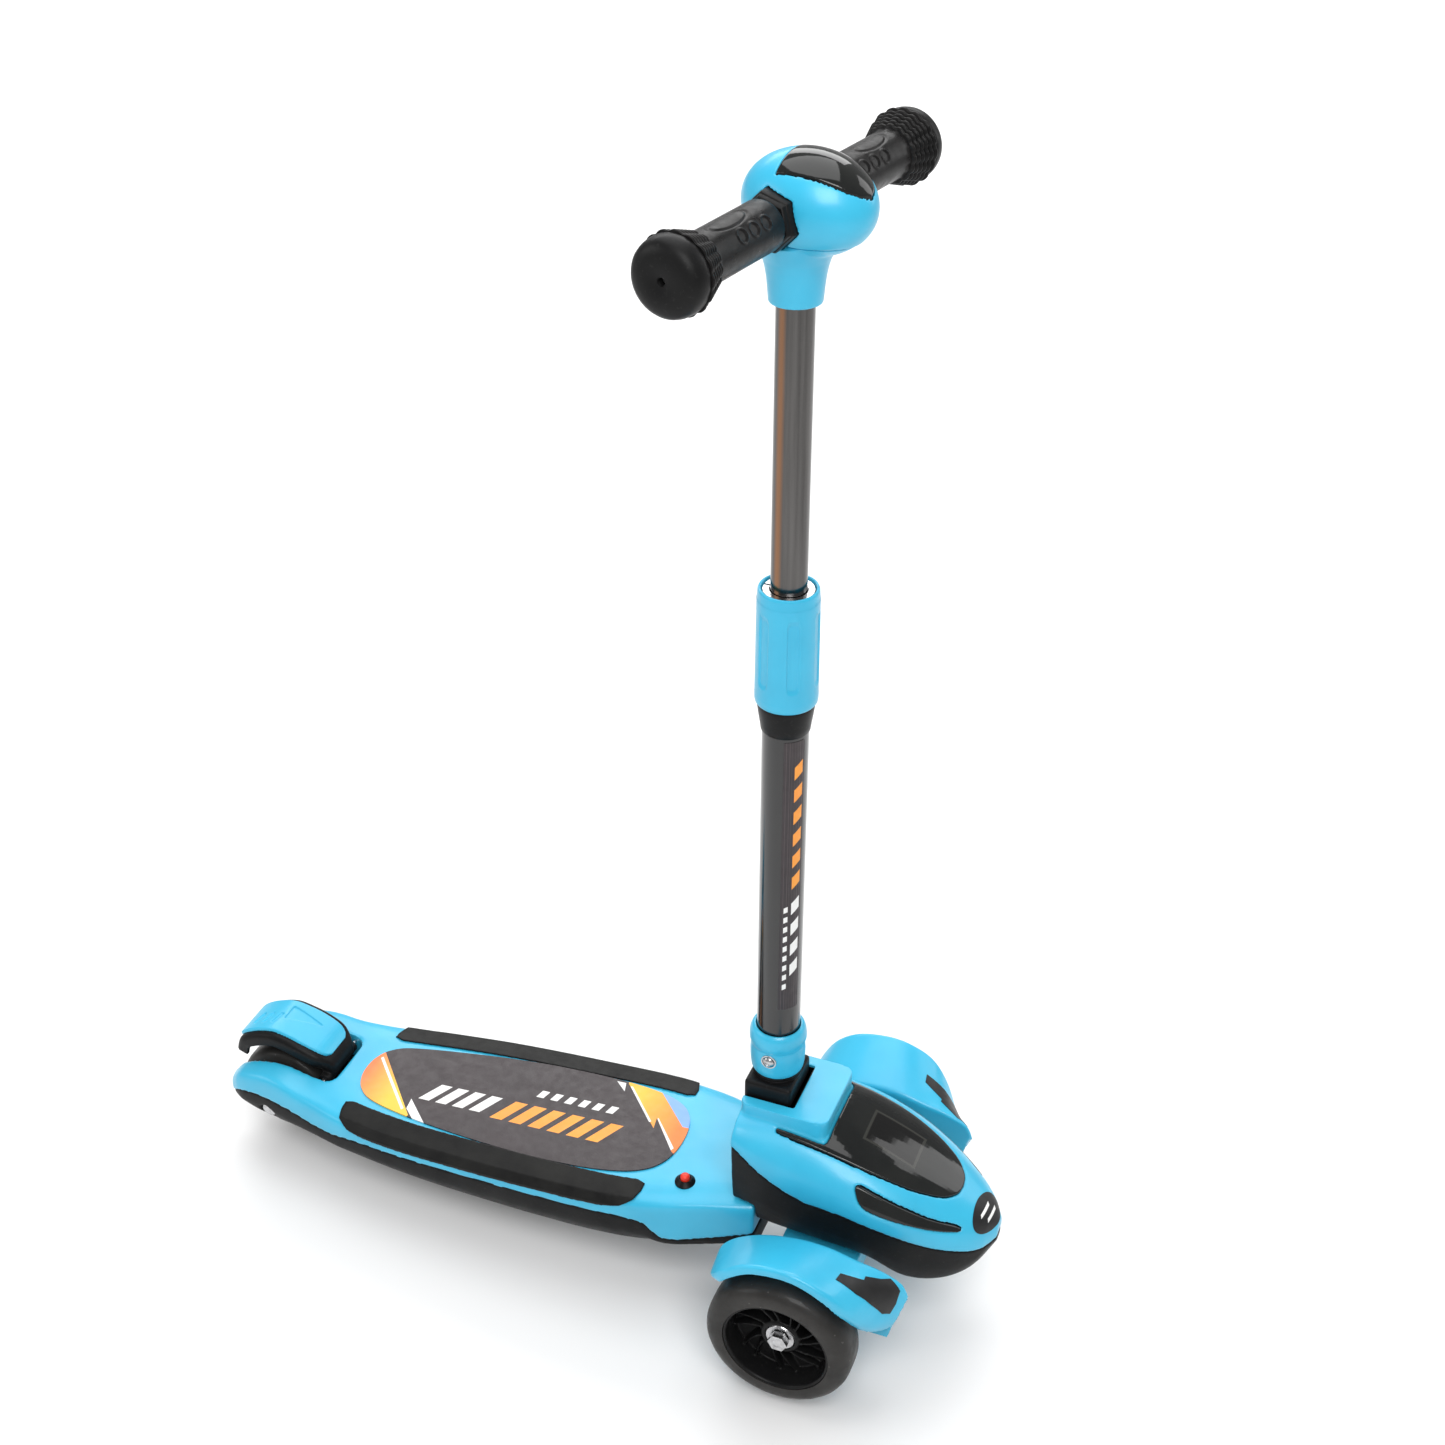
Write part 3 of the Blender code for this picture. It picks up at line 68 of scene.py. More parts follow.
TRUCK_PIVOT = Vector((0.1830, 0.0, 0.0600))
TRUCK_TILT = math.radians(40.0)
TRUCK_LEAN = Vector((math.sin(TRUCK_TILT), 0.0, math.cos(TRUCK_TILT)))
BRAKE_PIVOT = Vector((-0.2350, 0.0, 0.0720))
BUTTON = (0.0880, -0.0400)
DECK_ENDS = (-0.3150, 0.1452)
NOSE_ENDS = (0.1273, 0.3197)
FENDER_IN_Y = 0.0830
FRAME_FRONT_X = 0.1945
FRAME_HALF_Y = 0.0330
FRAME_TOP_Z = 0.1830
WELL_HALF_Y = 0.0240
LENS_DEPTH = 0.0020
LENS_GROOVE = 0.0005

# Stations along the deck and the nose: (x, value), joined by a smooth curve
DECK_HALF_WIDTH = (
    (-0.3150, 0.0370), (-0.3050, 0.0430), (-0.2750, 0.0475), (-0.2350, 0.0535), (-0.2000, 0.0605),
    (-0.1500, 0.0670), (-0.1000, 0.0705), (-0.0300, 0.0725), (0.0400, 0.0720), (0.0800, 0.0660),
    (0.1100, 0.0575), (0.1452, 0.0470),
)
DECK_TOP = (
    (-0.3150, 0.0640), (-0.3050, 0.0745), (-0.2920, 0.0800), (-0.2750, 0.0835), (-0.2600, 0.0832),
    (-0.2400, 0.0790), (-0.2000, 0.0757), (-0.1500, 0.0775), (-0.1000, 0.0812), (0.0000, 0.0880),
    (0.0540, 0.0925), (0.1000, 0.0965), (0.1452, 0.0980),
)
DECK_SEAM = (
    (-0.3150, 0.0480), (-0.3030, 0.0560), (-0.2850, 0.0592), (-0.2560, 0.0575), (-0.2300, 0.0532),
    (-0.2100, 0.0535), (-0.1900, 0.0570), (-0.1500, 0.0607), (-0.1000, 0.0645), (0.0000, 0.0700),
    (0.0620, 0.0710), (0.0780, 0.0570), (0.1100, 0.0600), (0.1452, 0.0680),
)
DECK_BOTTOM = (
    (-0.3150, 0.0370), (-0.3050, 0.0310), (-0.2900, 0.0270), (-0.2000, 0.0280), (-0.0800, 0.0320),
    (0.0000, 0.0350), (0.0800, 0.0410), (0.1452, 0.0460),
)
NOSE_HALF_WIDTH = (
    (0.1273, 0.0500), (0.1530, 0.0535), (0.1830, 0.0560), (0.2130, 0.0570), (0.2430, 0.0545),
    (0.2730, 0.0465), (0.2980, 0.0340), (0.3120, 0.0210), (0.3197, 0.0070),
)
NOSE_TOP = (
    (0.1273, 0.1760), (0.1530, 0.1765), (0.1830, 0.1735), (0.2130, 0.1660), (0.2430, 0.1550),
    (0.2730, 0.1400), (0.2980, 0.1240), (0.3120, 0.1135), (0.3197, 0.1050),
)
NOSE_SEAM = (
    (0.1273, 0.1560), (0.1530, 0.1380), (0.1830, 0.1265), (0.2130, 0.1240), (0.2430, 0.1160),
    (0.2730, 0.1050), (0.2980, 0.0965), (0.3120, 0.0925), (0.3197, 0.0935),
)
NOSE_BOTTOM = (
    (0.1273, 0.0810), (0.1480, 0.0800), (0.2130, 0.0790), (0.2350, 0.0750), (0.2600, 0.0620),
    (0.2850, 0.0610), (0.3050, 0.0700), (0.3197, 0.0880),
)
BRAKE_PATH = (
    (-0.2275, 0.0740), (-0.2300, 0.0850), (-0.2390, 0.0945), (-0.2540, 0.1010), (-0.2680, 0.1050),
    (-0.2820, 0.1065), (-0.2980, 0.1015), (-0.3110, 0.0930), (-0.3165, 0.0800),
)
# Half of the brake cover's width at each point of its path
BRAKE_WIDTHS = (0.0165, 0.0190, 0.0236, 0.0250, 0.0250, 0.0250, 0.0248, 0.0242, 0.0232)
# A front fender's outer and inner edges, in X from the axle and Z
FENDER_OUTER = (
    (-0.0560, 0.0930, 0.1150), (-0.0500, 0.1060, 0.1270), (-0.0400, 0.1190, 0.1305),
    (-0.0230, 0.1300, 0.1305), (0.0010, 0.1342, 0.1305), (0.0200, 0.1312, 0.1305),
    (0.0380, 0.1215, 0.1300), (0.0520, 0.1040, 0.1250), (0.0640, 0.0830, 0.1120),
    (0.0775, 0.0755, 0.0930),
)
FENDER_INNER = (
    (-0.0620, 0.0800), (-0.0575, 0.0925), (-0.0450, 0.1045), (-0.0240, 0.1150), (0.0010, 0.1205),
    (0.0230, 0.1205), (0.0440, 0.1160), (0.0620, 0.1130), (0.0780, 0.1065), (0.0845, 0.0960),
)

# How finely things are made
ROUND = 96  # sides of a turned piece
DECK_VOXEL = 0.0015
BODY_VOXEL = 0.0010
SMALL_VOXEL = 0.0006


# Curves and outlines --------------------------------------------------------------------------
def smooth_curve(stations, x):
    """The value at x of a smooth curve through the stations, flat beyond its ends."""
    if x <= stations[0][0]:
        return stations[0][1]
    if x >= stations[-1][0]:
        return stations[-1][1]
    last = len(stations) - 1
    i = max(k for k in range(last) if stations[k][0] <= x)
    (x0, v0), (x1, v1) = stations[i], stations[i + 1]

    def slope(k):
        low, high = stations[max(k - 1, 0)], stations[min(k + 1, last)]
        return (high[1] - low[1]) / (high[0] - low[0])

    span = x1 - x0
    t = (x - x0) / span
    a, b = slope(i) * span, slope(i + 1) * span
    return (
        v0 * (2 * t**3 - 3 * t**2 + 1)
        + a * (t**3 - 2 * t**2 + t)
        + v1 * (3 * t**2 - 2 * t**3)
        + b * (t**3 - t**2)
    )


def spaced(low, high, count):
    return [low + (high - low) * i / (count - 1) for i in range(count)]


def eased(low, high, value):
    """0 below low, 1 above high, smooth between."""
    t = min(max((value - low) / (high - low), 0.0), 1.0)
    return t * t * (3 - 2 * t)


def flowing(points, steps, closed=False):
    """A Catmull-Rom curve through the points, with this many steps from one to the next."""
    count = len(points)

    def at(i):
        return Vector(points[i % count] if closed else points[min(max(i, 0), count - 1)])

    found = []
    for i in range(count if closed else count - 1):
        before, here, after, beyond = at(i - 1), at(i), at(i + 1), at(i + 2)
        for k in range(steps):
            t = k / steps
            found.append(
                here * (1 - 2.5 * t**2 + 1.5 * t**3)
                + before * (-0.5 * t + t**2 - 0.5 * t**3)
                + after * (0.5 * t + 2 * t**2 - 1.5 * t**3)
                + beyond * (0.5 * t**3 - 0.5 * t**2)
            )
    if not closed:
        found.append(at(count - 1))
    return found


def rounded(corners, radius, steps=6):
    """The outline through the corners, each one replaced by an arc."""
    outline = []
    for i, corner in enumerate(corners):
        here = Vector(corner)
        before = (Vector(corners[i - 1]) - here).normalized()
        after = (Vector(corners[(i + 1) % len(corners)]) - here).normalized()
        reach = radius / math.tan(before.angle(after) / 2)
        start, end = here + before * reach, here + after * reach
        for k in range(steps + 1):
            t = k / steps
            outline.append(tuple(start * (1 - t) ** 2 + here * 2 * t * (1 - t) + end * t**2))
    return outline


def grown(outline, by):
    """The outline with each corner moved out, so that its sides move out by about as much."""
    area = sum(a[0] * b[1] - b[0] * a[1] for a, b in zip(outline, [*outline[1:], outline[0]]))
    turn = math.copysign(1.0, area)
    moved = []
    for i, corner in enumerate(outline):
        here = Vector(corner)
        before = (here - Vector(outline[i - 1])).normalized()
        after = (Vector(outline[(i + 1) % len(outline)]) - here).normalized()
        out = Vector((before.y + after.y, -before.x - after.x)).normalized() * turn
        spread = max(out.dot(Vector((after.y, -after.x)) * turn), 0.4)
        moved.append(tuple(here + out * by / spread))
    return moved


def mirrored(half):
    """A closed outline from the half of it with y above 0."""
    return list(half) + [(x, -y) for x, y in reversed(half) if abs(y) > 0]


def inside(point, outline):
    """Whether a 2D point lies inside an outline."""
    x, y = point
    found = False
    for (x0, y0), (x1, y1) in zip(outline, [*outline[1:], outline[0]]):
        if (y0 > y) != (y1 > y) and x < (x1 - x0) * (y - y0) / (y1 - y0) + x0:
            found = not found
    return found


# Meshes ---------------------------------------------------------------------------------------
def mesh_object(name, bm):
    bmesh.ops.recalc_face_normals(bm, faces=bm.faces)
    if bm.calc_volume(signed=True) < 0:
        bmesh.ops.reverse_faces(bm, faces=bm.faces)
    mesh = bpy.data.meshes.new(name)
    bm.to_mesh(mesh)
    bm.free()
    obj = bpy.data.objects.new(name, mesh)
    bpy.context.scene.collection.objects.link(obj)
    return obj


def baked(obj):
    """Applies the object's modifiers."""
    graph = bpy.context.evaluated_depsgraph_get()
    mesh = bpy.data.meshes.new_from_object(obj.evaluated_get(graph))
    obj.modifiers.clear()
    old = obj.data
    obj.data = mesh
    bpy.data.meshes.remove(old)
    mesh.name = obj.name
    return obj


def loft(name, rings):
    """A solid through rings of equally many points, capped at both ends."""
    bm = bmesh.new()
    rows = [[bm.verts.new(point) for point in ring] for ring in rings]
    count = len(rows[0])
    for row, after in zip(rows, rows[1:]):
        for i in range(count):
            j = (i + 1) % count
            bm.faces.new((row[i], row[j], after[j], after[i]))
    bm.faces.new(rows[0])
    bm.faces.new(rows[-1])
    bmesh.ops.triangulate(bm, faces=bm.faces)
    return mesh_object(name, bm)


def turned(name, profile, axis="Z", at=(0.0, 0.0, 0.0), sides=ROUND, shape=None):
    """A turned piece from a profile of (radius, height). shape(radius, turn, height) bends it."""
    bm = bmesh.new()
    columns = []
    for i in range(sides):
        turn = 2 * math.pi * i / sides
        column = []
        for radius, height in profile:
            r = shape(radius, turn, height) if shape and radius > 0 else radius
            across, up = r * math.cos(turn), r * math.sin(turn)
            place = (across, up, height) if axis == "Z" else (across, height, up)
            column.append(bm.verts.new(Vector(place) + Vector(at)))
        columns.append(column)
    count = len(profile)
    closed = profile[0][0] > 0
    for i in range(sides):
        here, after = columns[i], columns[(i + 1) % sides]
        for k in range(count if closed else count - 1):
            m = (k + 1) % count
            bm.faces.new((here[k], here[m], after[m], after[k]))
    bmesh.ops.remove_doubles(bm, verts=bm.verts, dist=0.000002)
    bmesh.ops.dissolve_degenerate(bm, edges=bm.edges, dist=0.000002)
    return mesh_object(name, bm)


def prism(name, outline, low, high, plane="XY"):
    """An outline in the XY or XZ plane, as thick as from low to high."""
    bm = bmesh.new()

    def corner(point, height):
        u, v = point
        return (u, v, height) if plane == "XY" else (u, height, v)

    ends = [[bm.verts.new(corner(point, height)) for point in outline] for height in (low, high)]
    for i in range(len(outline)):
        j = (i + 1) % len(outline)
        bm.faces.new((ends[0][i], ends[0][j], ends[1][j], ends[1][i]))
    caps = [bm.faces.new(end) for end in ends]
    bmesh.ops.triangulate(bm, faces=caps)
    return mesh_object(name, bm)


def block(name, low, high):
    corners = [(low[0], low[1]), (high[0], low[1]), (high[0], high[1]), (low[0], high[1])]
    return prism(name, corners, low[2], high[2])


def rod(name, start, end, radius, sides=32):
    start, end = Vector(start), Vector(end)
    along = end - start
    turn = along.to_track_quat("Z", "X").to_matrix().to_4x4()
    bm = bmesh.new()
    bmesh.ops.create_cone(
        bm, cap_ends=True, segments=sides, radius1=radius, radius2=radius, depth=along.length,
        matrix=Matrix.Translation((start + end) / 2) @ turn,
    )
    return mesh_object(name, bm)


def changed(obj, others, operation):
    for other in others:
        boolean = obj.modifiers.new(operation, "BOOLEAN")
        boolean.operation = operation
        boolean.solver = "EXACT"
        boolean.object = other
        baked(obj)
        bpy.data.objects.remove(other)
    return obj


def cut(obj, *cutters):
    return changed(obj, cutters, "DIFFERENCE")


def common(obj, other):
    return changed(obj, [other], "INTERSECT")


def fused(obj, *others):
    """One object that holds all the meshes; a voxel pass can then make them one skin."""
    bm = bmesh.new()
    bm.from_mesh(obj.data)
    for other in others:
        bm.from_mesh(other.data)
        bpy.data.objects.remove(other)
    bm.to_mesh(obj.data)
    bm.free()
    return obj


def moulded(obj, voxel, passes=4):
    """One skin with the soft edges of a moulding."""
    remesh = obj.modifiers.new("skin", "REMESH")
    remesh.mode = "VOXEL"
    remesh.voxel_size = voxel
    soften = obj.modifiers.new("soft edges", "SMOOTH")
    soften.factor = 0.5
    soften.iterations = passes
    return baked(obj)


def bevelled(obj, width, segments=3, angle=35.0):
    rounding = obj.modifiers.new("edges", "BEVEL")
    rounding.width = width
    rounding.segments = segments
    rounding.limit_method = "ANGLE"
    rounding.angle_limit = math.radians(angle)
    return baked(obj)


def moved(obj, matrix):
    obj.data.transform(matrix)
    return obj


def piece(obj, body, material, nodes=(), sharp=40.0):
    """Finishes a piece: its material and shading, the body it rides on and what it stands for."""
    if material is not None:
        obj.data.materials.append(material)
    obj.data.shade_smooth()
    obj.data.set_sharp_from_angle(angle=math.radians(sharp))
    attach(obj, body)
    if nodes:
        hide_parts(*nodes)
    return obj


def skin_of(obj):
    bm = bmesh.new()
    bm.from_mesh(obj.data)
    tree = BVHTree.FromBMesh(bm)
    bm.free()
    return tree


def print_sheet(name, outline, regions, materials, place, lift, thickness, grid=0.0022):
    """A thin printed sheet: the outline's faces, each with the index of the region it lies in.

    place(u, v) gives the point of the surface under it and the surface's normal there.
    """
    points, edges = [], []
    for loop in [outline, *(region for region, _ in regions)]:
        first = len(points)
        for i, (point, after) in enumerate(zip(loop, [*loop[1:], loop[0]])):
            a, b = Vector(point[:2]), Vector(after[:2])
            steps = max(1, int((b - a).length / grid))
            points += [a.lerp(b, k / steps) for k in range(steps)]
        count = len(points) - first
        edges += [(first + k, first + (k + 1) % count) for k in range(count)]
    low = [min(point[k] for point in outline) for k in (0, 1)]
    high = [max(point[k] for point in outline) for k in (0, 1)]
    for i in range(1, int((high[0] - low[0]) / grid)):
        for j in range(1, int((high[1] - low[1]) / grid)):
            spot = (low[0] + i * grid, low[1] + j * grid)
            if inside(spot, outline):
                points.append(Vector(spot))
    found = delaunay_2d_cdt(points, edges, [], 0, 0.000001)
    bm = bmesh.new()
    placed = [place(u, v) for u, v in found[0]]
    verts = [bm.verts.new(point + normal * (lift + thickness)) for point, normal in placed]
    plain = [tuple(point[:2]) for point in outline]
    for face in found[2]:
        middle = sum((Vector(found[0][i]) for i in face), Vector((0.0, 0.0))) / len(face)
        if not inside(middle, plain):
            continue
        made = bm.faces.new([verts[i] for i in face])
        for region, index in regions:
            if inside(middle, [tuple(point[:2]) for point in region]):
                made.material_index = index
    bmesh.ops.delete(bm, geom=[v for v in bm.verts if not v.link_faces], context="VERTS")
    mesh = bpy.data.meshes.new(name)
    bm.to_mesh(mesh)
    bm.free()
    for material in materials:
        mesh.materials.append(material)
    obj = bpy.data.objects.new(name, mesh)
    bpy.context.scene.collection.objects.link(obj)
    solid = obj.modifiers.new("thickness", "SOLIDIFY")
    solid.thickness = thickness
    solid.offset = -1.0
    return baked(obj)


def dropped(tree, direction=(0.0, 0.0, -1.0), origin=None, across=None, along=None):
    """A placer for print_sheet that drops each point onto a skin."""
    direction = Vector(direction).normalized()

    def place(u, v):
        if origin is None:
            start = Vector((u, v, 0.5))
        else:
            start = origin + across * u + along * v - direction * 0.05
        point, normal, _, _ = tree.ray_cast(start, direction)
        if point is None:
            point, normal, _, _ = tree.find_nearest(start + direction * 0.05)
        return point, normal

    return place


# Materials ------------------------------------------------------------------------------------
RUBBER_SHINE = 0.16  # specular level of rubber and of the tyres
WEAVE_PITCH = 3000.0  # radians to the metre of the printed weave


class Shading:
    """A material being built from nodes around its one Principled shader."""

    def __init__(self, name, colour, roughness, metallic=0.0):
        self.material = bpy.data.materials.new(name)
        self.material.use_nodes = True
        self.tree = self.material.node_tree
        self.shader = self.tree.nodes["Principled BSDF"]
        self.shader.inputs["Base Color"].default_value = (*colour, 1.0)
        self.shader.inputs["Roughness"].default_value = roughness
        self.shader.inputs["Metallic"].default_value = metallic
        self.material.diffuse_color = (*colour, 1.0)
        self.place = self.node("ShaderNodeTexCoord").outputs["Object"]

    def node(self, kind, **settings):
        made = self.tree.nodes.new(kind)
        for key, value in settings.items():
            setattr(made, key, value)
        return made

    def feed(self, socket, value):
        if isinstance(value, bpy.types.NodeSocket):
            self.tree.links.new(value, socket)
        else:
            socket.default_value = value

    def math(self, operation, a, b=0.0):
        made = self.node("ShaderNodeMath", operation=operation)
        self.feed(made.inputs[0], a)
        self.feed(made.inputs[1], b)
        return made.outputs[0]

    def noise(self, scale, detail=3.0, stretch=(1.0, 1.0, 1.0)):
        mapping = self.node("ShaderNodeMapping")
        mapping.inputs["Scale"].default_value = stretch
        self.feed(mapping.inputs["Vector"], self.place)
        made = self.node("ShaderNodeTexNoise")
        self.feed(made.inputs["Vector"], mapping.outputs[0])
        made.inputs["Scale"].default_value = scale
        made.inputs["Detail"].default_value = detail
        return made.outputs["Fac"]

    def cells(self, scale):
        made = self.node("ShaderNodeTexVoronoi")
        self.feed(made.inputs["Vector"], self.place)
        made.inputs["Scale"].default_value = scale
        return made.outputs["Distance"]

    def spread(self, value, low, high, to_low=0.0, to_high=1.0):
        made = self.node("ShaderNodeMapRange")
        self.feed(made.inputs["Value"], value)
        for name, number in zip(("From Min", "From Max", "To Min", "To Max"), (low, high, to_low, to_high)):
            made.inputs[name].default_value = number
        return made.outputs["Result"]

    def mix(self, factor, a, b):
        made = self.node("ShaderNodeMix", data_type="RGBA")
        self.feed(made.inputs[0], factor)
        for socket, value in ((made.inputs[6], a), (made.inputs[7], b)):
            self.feed(socket, (*value, 1.0) if isinstance(value, tuple) else value)
        return made.outputs[2]

    def axis(self, name):
        made = self.node("ShaderNodeSeparateXYZ")
        self.feed(made.inputs[0], self.place)
        return made.outputs[name]

    def bump(self, height, distance, strength=1.0):
        made = self.node("ShaderNodeBump")
        made.inputs["Strength"].default_value = strength
        made.inputs["Distance"].default_value = distance
        self.feed(made.inputs["Height"], height)
        before = self.shader.inputs["Normal"]
        if before.is_linked:
            self.feed(made.inputs["Normal"], before.links[0].from_socket)
        self.feed(before, made.outputs["Normal"])

    def colour(self, value):
        self.feed(self.shader.inputs["Base Color"], value)

    def roughness(self, value):
        self.feed(self.shader.inputs["Roughness"], value)

    def gloss(self, specular, coat=0.0, coat_roughness=0.03):
        self.shader.inputs["Specular IOR Level"].default_value = specular
        self.shader.inputs["Coat Weight"].default_value = coat
        self.shader.inputs["Coat Roughness"].default_value = coat_roughness


def moulded_plastic(
    name, colour, deep, roughness, grain=1400.0, depth=0.00003, dust=0.0, coat=0.0, shine=0.5
):
    """Injection-moulded plastic: faint flow clouds, a fine grain and a little handling."""
    look = Shading(name, colour, roughness)
    clouds = look.spread(look.noise(26.0, 4.0), 0.35, 0.70)
    tint = look.mix(clouds, colour, deep)
    if dust:
        specks = look.spread(look.noise(420.0, 5.0), 0.60, 0.78, 0.0, dust)
        tint = look.mix(specks, tint, (0.42, 0.41, 0.39))
    look.colour(tint)
    look.roughness(look.spread(look.noise(60.0, 5.0), 0.3, 0.7, roughness - 0.05, roughness + 0.07))
    look.bump(look.noise(grain, 2.0), depth, 0.6)
    look.gloss(shine, coat, 0.12)
    return look.material


def smoked_lens(name, board=False):
    look = Shading(name, (0.010, 0.012, 0.012), 0.10)
    haze = look.spread(look.noise(34.0, 4.0), 0.35, 0.75)
    tint = look.mix(haze, (0.006, 0.007, 0.007), (0.013, 0.014, 0.013))
    if board:  # the light board that shows faintly through the lens
        middle_x, half_x, half_y = 0.2370, 0.0190, 0.0150
        along = look.math("ABSOLUTE", look.math("SUBTRACT", look.axis("X"), middle_x))
        across = look.math("ABSOLUTE", look.axis("Y"))
        past_end = look.math("SUBTRACT", along, half_x)
        past_side = look.math("SUBTRACT", across, half_y)
        reach = look.math("MAXIMUM", past_end, past_side)
        within = look.spread(reach, 0.0004, -0.0004)
        rim = look.spread(look.math("ABSOLUTE", reach), 0.0013, 0.0006, 0.0, 0.55)
        tint = look.mix(within, tint, (0.004, 0.004, 0.004))
        tint = look.mix(rim, tint, (0.055, 0.055, 0.048))
    look.colour(tint)
    look.roughness(look.spread(look.noise(90.0, 6.0), 0.3, 0.75, 0.06, 0.10))
    look.bump(look.noise(130.0, 3.0), 0.00004, 0.5)
    look.gloss(0.35, 0.2, 0.04)
    return look.material


def soft_rubber(name, colour, deep, roughness, grain):
    look = Shading(name, colour, roughness)
    look.colour(look.mix(look.spread(look.noise(45.0, 5.0), 0.35, 0.7), colour, deep))
    look.gloss(RUBBER_SHINE)
    look.roughness(look.spread(look.noise(180.0, 4.0), 0.3, 0.7, roughness - 0.08, roughness + 0.08))
    look.bump(look.noise(grain, 4.0), 0.00012, 0.6)
    return look.material


def wheel_rubber(name):
    """Dark cast polyurethane with trapped dots and road dust."""
    look = Shading(name, (0.05, 0.05, 0.05), 0.42)
    clouds = look.spread(look.noise(40.0, 5.0), 0.3, 0.7)
    tint = look.mix(clouds, (0.018, 0.017, 0.016), (0.038, 0.036, 0.034))
    dots = look.spread(look.cells(150.0), 0.13, 0.07, 0.0, 0.55)
    tint = look.mix(dots, tint, (0.10, 0.095, 0.09))
    look.colour(tint)
    look.roughness(look.spread(look.noise(120.0, 5.0), 0.3, 0.7, 0.34, 0.56))
    look.bump(look.noise(700.0, 4.0), 0.00015, 0.5)
    look.gloss(RUBBER_SHINE, 0.1)
    return look.material


def metal(name, colour, roughness, streak=(1.0, 1.0, 1.0), painted_reflection_turn=None):
    look = Shading(name, colour, roughness, 1.0)
    lines = look.noise(300.0, 5.0, streak)
    darker = tuple(c * 0.72 for c in colour)
    tint = look.mix(look.spread(lines, 0.35, 0.7), colour, darker)
    # Painted reflection: a brown band down one side of the tube, at a fixed turn round the stem, stands in
    # for something brown mirrored in the chrome
    if painted_reflection_turn:
        around = look.node("ShaderNodeMath", operation="ARCTAN2")
        look.feed(around.inputs[0], look.axis("Y"))
        look.feed(around.inputs[1], look.math("SUBTRACT", look.axis("X"), STEM_X))
        reflection_band = look.math("ABSOLUTE", look.math("SUBTRACT", around.outputs[0], painted_reflection_turn))
        tint = look.mix(look.spread(reflection_band, 0.30, 0.08, 0.0, 0.75), tint, (0.30, 0.145, 0.07))
    look.colour(tint)
    look.roughness(look.spread(lines, 0.3, 0.7, roughness - 0.04, roughness + 0.06))
    look.bump(lines, 0.00002, 0.4)
    return look.material


def print_film(name, colour, deep, dots=None, fade=None):
    """Printed film: a flat ink with its dots, and where it fades the colour that it fades to."""
    look = Shading(name, colour, 0.42)
    tint = look.mix(look.spread(look.noise(30.0, 4.0), 0.35, 0.7), colour, deep)
    if fade:
        far_colour, low, high = fade
        tint = look.mix(look.spread(look.axis("X"), low, high), tint, far_colour)
    if dots:
        x, y = look.axis("X"), look.axis("Y")
        threads = [look.math("MULTIPLY", look.math(way, x, y), WEAVE_PITCH) for way in ("ADD", "SUBTRACT")]
        weave = look.math("MULTIPLY", *(look.math("SINE", thread) for thread in threads))
        tint = look.mix(look.spread(weave, -0.2, 0.6, 0.0, 0.85), tint, dots)
        look.bump(weave, 0.00005, 0.5)
    look.colour(tint)
    look.roughness(look.spread(look.noise(160.0, 4.0), 0.3, 0.7, 0.36, 0.52))
    look.bump(look.noise(900.0, 3.0), 0.00004, 0.4)
    return look.material


BLUE = (0.038, 0.475, 0.720)
BLUE_DEEP = (0.032, 0.430, 0.665)
BLACK = (0.0060, 0.0060, 0.0065)
BLACK_DEEP = (0.0100, 0.0100, 0.0100)
blue = moulded_plastic("blue_abs", BLUE, BLUE_DEEP, 0.33, coat=0.15)
black = moulded_plastic("black_abs", BLACK, BLACK_DEEP, 0.38, dust=0.03, shine=0.14)
hull_black = moulded_plastic("hull_black_abs", BLACK, BLACK_DEEP, 0.44, 900.0, 0.00006, 0.03, shine=0.12)
hub_black = moulded_plastic("hub_black_nylon", BLACK, BLACK_DEEP, 0.34, dust=0.03, shine=0.14)
lens = smoked_lens("smoked_lens_side")
hood_lens = smoked_lens("smoked_lens_hood", board=True)
strip_rubber = soft_rubber("side_strip_rubber", (0.007, 0.007, 0.007), (0.014, 0.014, 0.013), 0.40, 900.0)
grip_rubber = soft_rubber("grip_rubber", (0.006, 0.006, 0.006), (0.011, 0.010, 0.010), 0.34, 1500.0)
tyre_rubber = wheel_rubber("cast_tyre")
steel = metal("zinc_steel", (0.62, 0.62, 0.63), 0.24)
# The dark chrome tube gets a painted brown reflection down one side
chrome = metal("dark_chrome_tube", (0.13, 0.125, 0.122), 0.16, (1.0, 1.0, 0.03), painted_reflection_turn=math.radians(-112.0))
paint = moulded_plastic(
    "gloss_black_paint", (0.006, 0.006, 0.007), (0.010, 0.010, 0.010), 0.14, 600.0, 0.00002, coat=0.4
)
red = moulded_plastic("red_button", (0.80, 0.035, 0.012), (0.66, 0.022, 0.010), 0.34)
ink_dark = print_film("mat_weave", (0.020, 0.015, 0.017), (0.030, 0.022, 0.025), dots=(0.062, 0.046, 0.050))
ink_amber_rear = print_film(
    "mat_amber_rear", (0.95, 0.20, 0.06), (0.92, 0.24, 0.07), fade=((0.98, 0.56, 0.06), -0.204, -0.172)
)
ink_amber_front = print_film(
    "mat_amber_front", (0.98, 0.52, 0.05), (0.96, 0.45, 0.05), fade=((0.92, 0.22, 0.04), 0.020, 0.062)
)
ink_orange = print_film("mat_orange", (0.92, 0.36, 0.04), (0.90, 0.31, 0.04))
ink_white = print_film("mat_white", (0.86, 0.86, 0.85), (0.80, 0.80, 0.78))
ink_violet = print_film("mat_violet", (0.22, 0.42, 0.86), (0.20, 0.36, 0.80))
sticker_black = print_film("sticker_black", (0.006, 0.006, 0.007), (0.010, 0.010, 0.010))


# Deck -----------------------------------------------------------------------------------------
def both_sides(x, side):
    """A ring at x from its half with Y above 0, as (Y, Z) points."""
    return [(x, y, z) for y, z in side] + [(x, -y, z) for y, z in reversed(side)]


